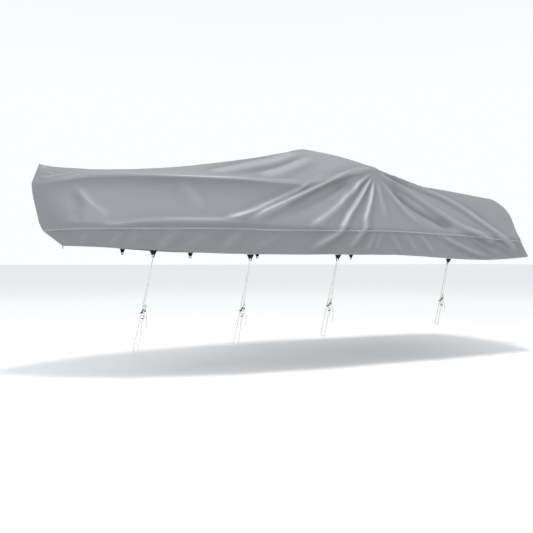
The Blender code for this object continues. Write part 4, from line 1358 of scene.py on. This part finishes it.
class Loop:
    """A rope's loop from the eye of its tab to its foot, and the place of the hook on it."""

    def __init__(self, tie, eye):
        foot = foot_of(tie)
        self.tie, self.eye = tie, eye
        self.way = unit(foot - eye)
        self.length = np.linalg.norm(foot - eye) - tie.foot_turn
        self.out, self.turned = self.facing(-EYE_TURNED), self.facing(tie.turned_aft)
        self.across = self.facing(pi / 2 - HOOK_TURNED)
        self.outboard = np.cross(self.way, self.across)
        self.outboard *= np.sign(-self.outboard[1])
        self.at_hook = self.place(tie.hook_share * self.length)
        self.middle = self.at_hook - HOOK_FORWARD * self.across

    def facing(self, aft):
        """Square to the rope, and turned that far aft from square to the cover's side."""
        direction = np.array([sin(aft), -cos(aft), 0.0])
        return unit(direction - (direction @ self.way) * self.way)

    def place(self, along, sense=1):
        """A place on the outboard run of the loop, or with sense -1 on the inboard one."""
        share = along / self.length
        off = (1 - share) * ROPE_TURN * self.out + share * self.tie.foot_turn * self.turned
        return self.eye + along * self.way + sense * off

    def by_hook(self, places):
        """Points from places aft, down the rope and outboard of the hook's middle."""
        return [
            self.middle + aft * self.across + down * self.way + off * self.outboard
            for aft, down, off in places
        ]


loops = [Loop(tie, eyes[f"tab_port_{number}"]) for number, tie in enumerate(TIES, 1)]
print("loops of", [round(float(loop.length), 3) for loop in loops], "m")

# %% [markdown]
# ## The course of a rope
# The rope starts at the eye of its hook, goes up through the tab, down inside, round its foot and up
# outside, and takes a turn about the middle of the same hook, so that pulling its tail tightens it. Both
# turns of the loop are half circles. The turn on the hook is given from one place of the bar to the next,
# because it must clear the bar everywhere. The courses are the imported ones, in finer steps.

# %% Courses of the hook and the rope
ROPE_STEP = 0.003
LEAD_IN = 0.03                       # straight length of rope where it leaves the hook's eye
HOOK_CROWN = 0.0016                  # how far the bow of its eye rises past the points of its course
TURN_ANGLES = tuple(map(radians, (0, 45, 90, 135, 180)))
#    shares of the way at which a straight run has a point
UP_TO_TAB, DOWN_INSIDE, UP_TO_HOOK = (0.66, 0.33), (0.25, 0.50, 0.75), (0.35, 0.70)
#    aft, down the rope, both from the hook's middle
HOOK_COURSE = (
    (0.014, -0.031), (0.022, -0.043), (0.015, -0.055), (0.001, -0.055), (-0.006, -0.043),
    (-0.010, -0.024), (-0.022, -0.006), (-0.010, 0.009), (0.014, 0.022), (0.020, 0.038), (-0.002, 0.054),
)
#    aft, down the rope, outboard, all from the hook's middle
ROPE_ON_HOOK = (
    (0.004, 0.105, 0.008), (0.012, 0.070, 0.018), (0.017, 0.044, 0.021), (0.007, 0.021, 0.022),
    (-0.014, 0.004, 0.021), (-0.036, -0.008, 0.012), (-0.043, -0.012, -0.003), (-0.032, -0.014, -0.016),
    (-0.010, -0.012, -0.019), (0.012, -0.011, -0.008), (0.028, -0.006, 0.008), (0.042, 0.012, 0.016),
    (0.049, 0.042, 0.018),
)
#    share of the tail, how far aft it hangs off the end of the turn
TAIL_HANG = ((0.40, 0.003), (0.75, -0.002), (1.00, -0.010))


def half_turn(middle, start, forward):
    """Points of half a circle about its middle, from one side of it, by way of its forward side."""
    return [middle + start * cos(angle) + forward * sin(angle) for angle in TURN_ANGLES]


def rope_course(loop):
    """The whole course of a rope, from the hook's eye to the end of its tail."""
    tie, eye, way = loop.tie, loop.eye, loop.way
    eye_top = -min(down for _, down in HOOK_COURSE)
    start = loop.at_hook - (eye_top + HOOK_CROWN + HOOK_BAR + PACKED_GAP) * way
    start_down = (start - eye) @ way
    turn = loop.by_hook(ROPE_ON_HOOK)
    rise_to = (turn[0] - eye) @ way
    fall = np.array([0, 0, -tie.tail])
    return smooth_route([
        start, start - LEAD_IN * way,
        *(loop.place(start_down * share) for share in UP_TO_TAB),
        *half_turn(eye + ROPE_TURN * way, ROPE_TURN * loop.out, -ROPE_TURN * way),
        *(loop.place(loop.length * share, -1) for share in DOWN_INSIDE),
        *half_turn(eye + loop.length * way, -tie.foot_turn * loop.turned, tie.foot_turn * way),
        *(loop.place(loop.length + (rise_to - loop.length) * share) for share in UP_TO_HOOK),
        *turn,
        *(turn[-1] + fall * share + aft * loop.across for share, aft in TAIL_HANG),
    ], ROPE_STEP)


courses = [rope_course(loop) for loop in loops]
print("ropes of", [round(float(length_along(course)[-1]), 3) for course in courses], "m")

# %% [markdown]
# ## Knots
# A rope is made fast to its hook by a few turns: through the eye, and then round and round itself above it.
# The imported rope only starts there. The knot is a short piece of the same laid rope with a course of its
# own, a listed loop and then a helix.

# %% Knots
#    aft, down the rope, outboard, all from the hook's middle: through the eye and round the rope above
KNOT_LOOP = (
    (0.008, -0.090, 0.009), (0.008, -0.072, 0.0135), (0.008, -0.0566, 0.0132), (0.008, -0.0455, 0.0075),
    (0.008, -0.0435, 0.0), (0.008, -0.0455, -0.0075), (0.008, -0.0566, -0.0132), (0.009, -0.068, -0.0130),
)
KNOT_TURN, KNOT_PITCH, KNOT_TURNS = 0.0125, 0.0125, 2.6     # radius and rise of a turn, how many
KNOT_STARTS = -0.074                 # place of the first turn down the rope
TURN_POINTS = 8                      # points of the course in a turn


def knot_course(loop):
    angles = np.linspace(-pi / 2, -pi / 2 + 2 * pi * KNOT_TURNS, ceil(TURN_POINTS * KNOT_TURNS))
    wraps = [
        (
            HOOK_FORWARD + KNOT_TURN * cos(angle),
            KNOT_STARTS - KNOT_PITCH * (angle + pi / 2) / (2 * pi),
            KNOT_TURN * sin(angle),
        )
        for angle in angles
    ]
    return smooth_route(loop.by_hook((*KNOT_LOOP, *wraps)), ROPE_STEP)


print("a knot takes", round(float(length_along(knot_course(loops[0]))[-1]), 3), "m of rope")

# %% [markdown]
# ## Ropes, hooks and knots
# Each tie is three pieces that touch one another: the hook's bar, the laid rope and the knot.

# %% Make the ropes, hooks and knots
ropes = []
for number, (loop, course) in enumerate(zip(loops, courses), 1):
    bar = smooth_route(loop.by_hook((aft, down, 0) for aft, down in HOOK_COURSE), ROPE_STEP)
    hook = round_bar(f"tie_hook_{number}_bar", bar, hook_finish)
    rope = laid_rope(f"tie_rope_{number}_laid", course, rope_finish)
    knot = laid_rope(f"tie_knot_{number}", knot_course(loop), rope_finish)
    ropes.append((rope, hook, knot))
    print("tie", number, "starts at", course[0].round(3), "triangles", triangles_of(rope))

# %% [markdown]
# ## What rides where
# Every piece rides on a body of the imported model, so that it would move with it. A cover has no joints, so
# they all ride on one. The sheets, tabs, ropes and hooks are drawn in place of the imported ones. The welt,
# the stitches and the knots are only added.

# %% Ride and replace
dressed = []


def dress(piece, packed=None):
    """Put a piece on the cover's body, in place of a packed one where it has one."""
    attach(piece, "root")
    if packed:
        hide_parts(packed)
    dressed.append(piece.name)


dress(top_sheet, "top_cloth")
for key, piece in skirts.items():
    dress(piece, key)
for piece in (welt, seam_stitches, hem_stitches):
    dress(piece)
for key, piece in tabs.items():
    dress(piece, key)
for number, (rope, hook, knot) in enumerate(ropes, 1):
    dress(rope, f"tie_rope_{number}")
    dress(hook, f"tie_hook_{number}")
    dress(knot)
print("pieces", len(dressed))

# %% [markdown]

# %% [markdown]
# ## Area of the cloth
# A helper gives the area of the outer face between two rows of the grid, measured along the draped
# cloth. None of the sheets is a rectangle.

# %% Area of a face
def face_area(first, last, columns=slice(None)):
    """Area of the outer face between two rows of the grid."""
    corners = outer[corners_of(numbers[columns], first, last)]
    diagonals = corners[:, 2] - corners[:, 0], corners[:, 3] - corners[:, 1]
    return float(np.linalg.norm(np.cross(*diagonals), axis=1).sum() / 2)


for name, columns in (("skirt_port", slice(0, STERN + 1)), ("skirt_starboard", slice(STERN, None))):
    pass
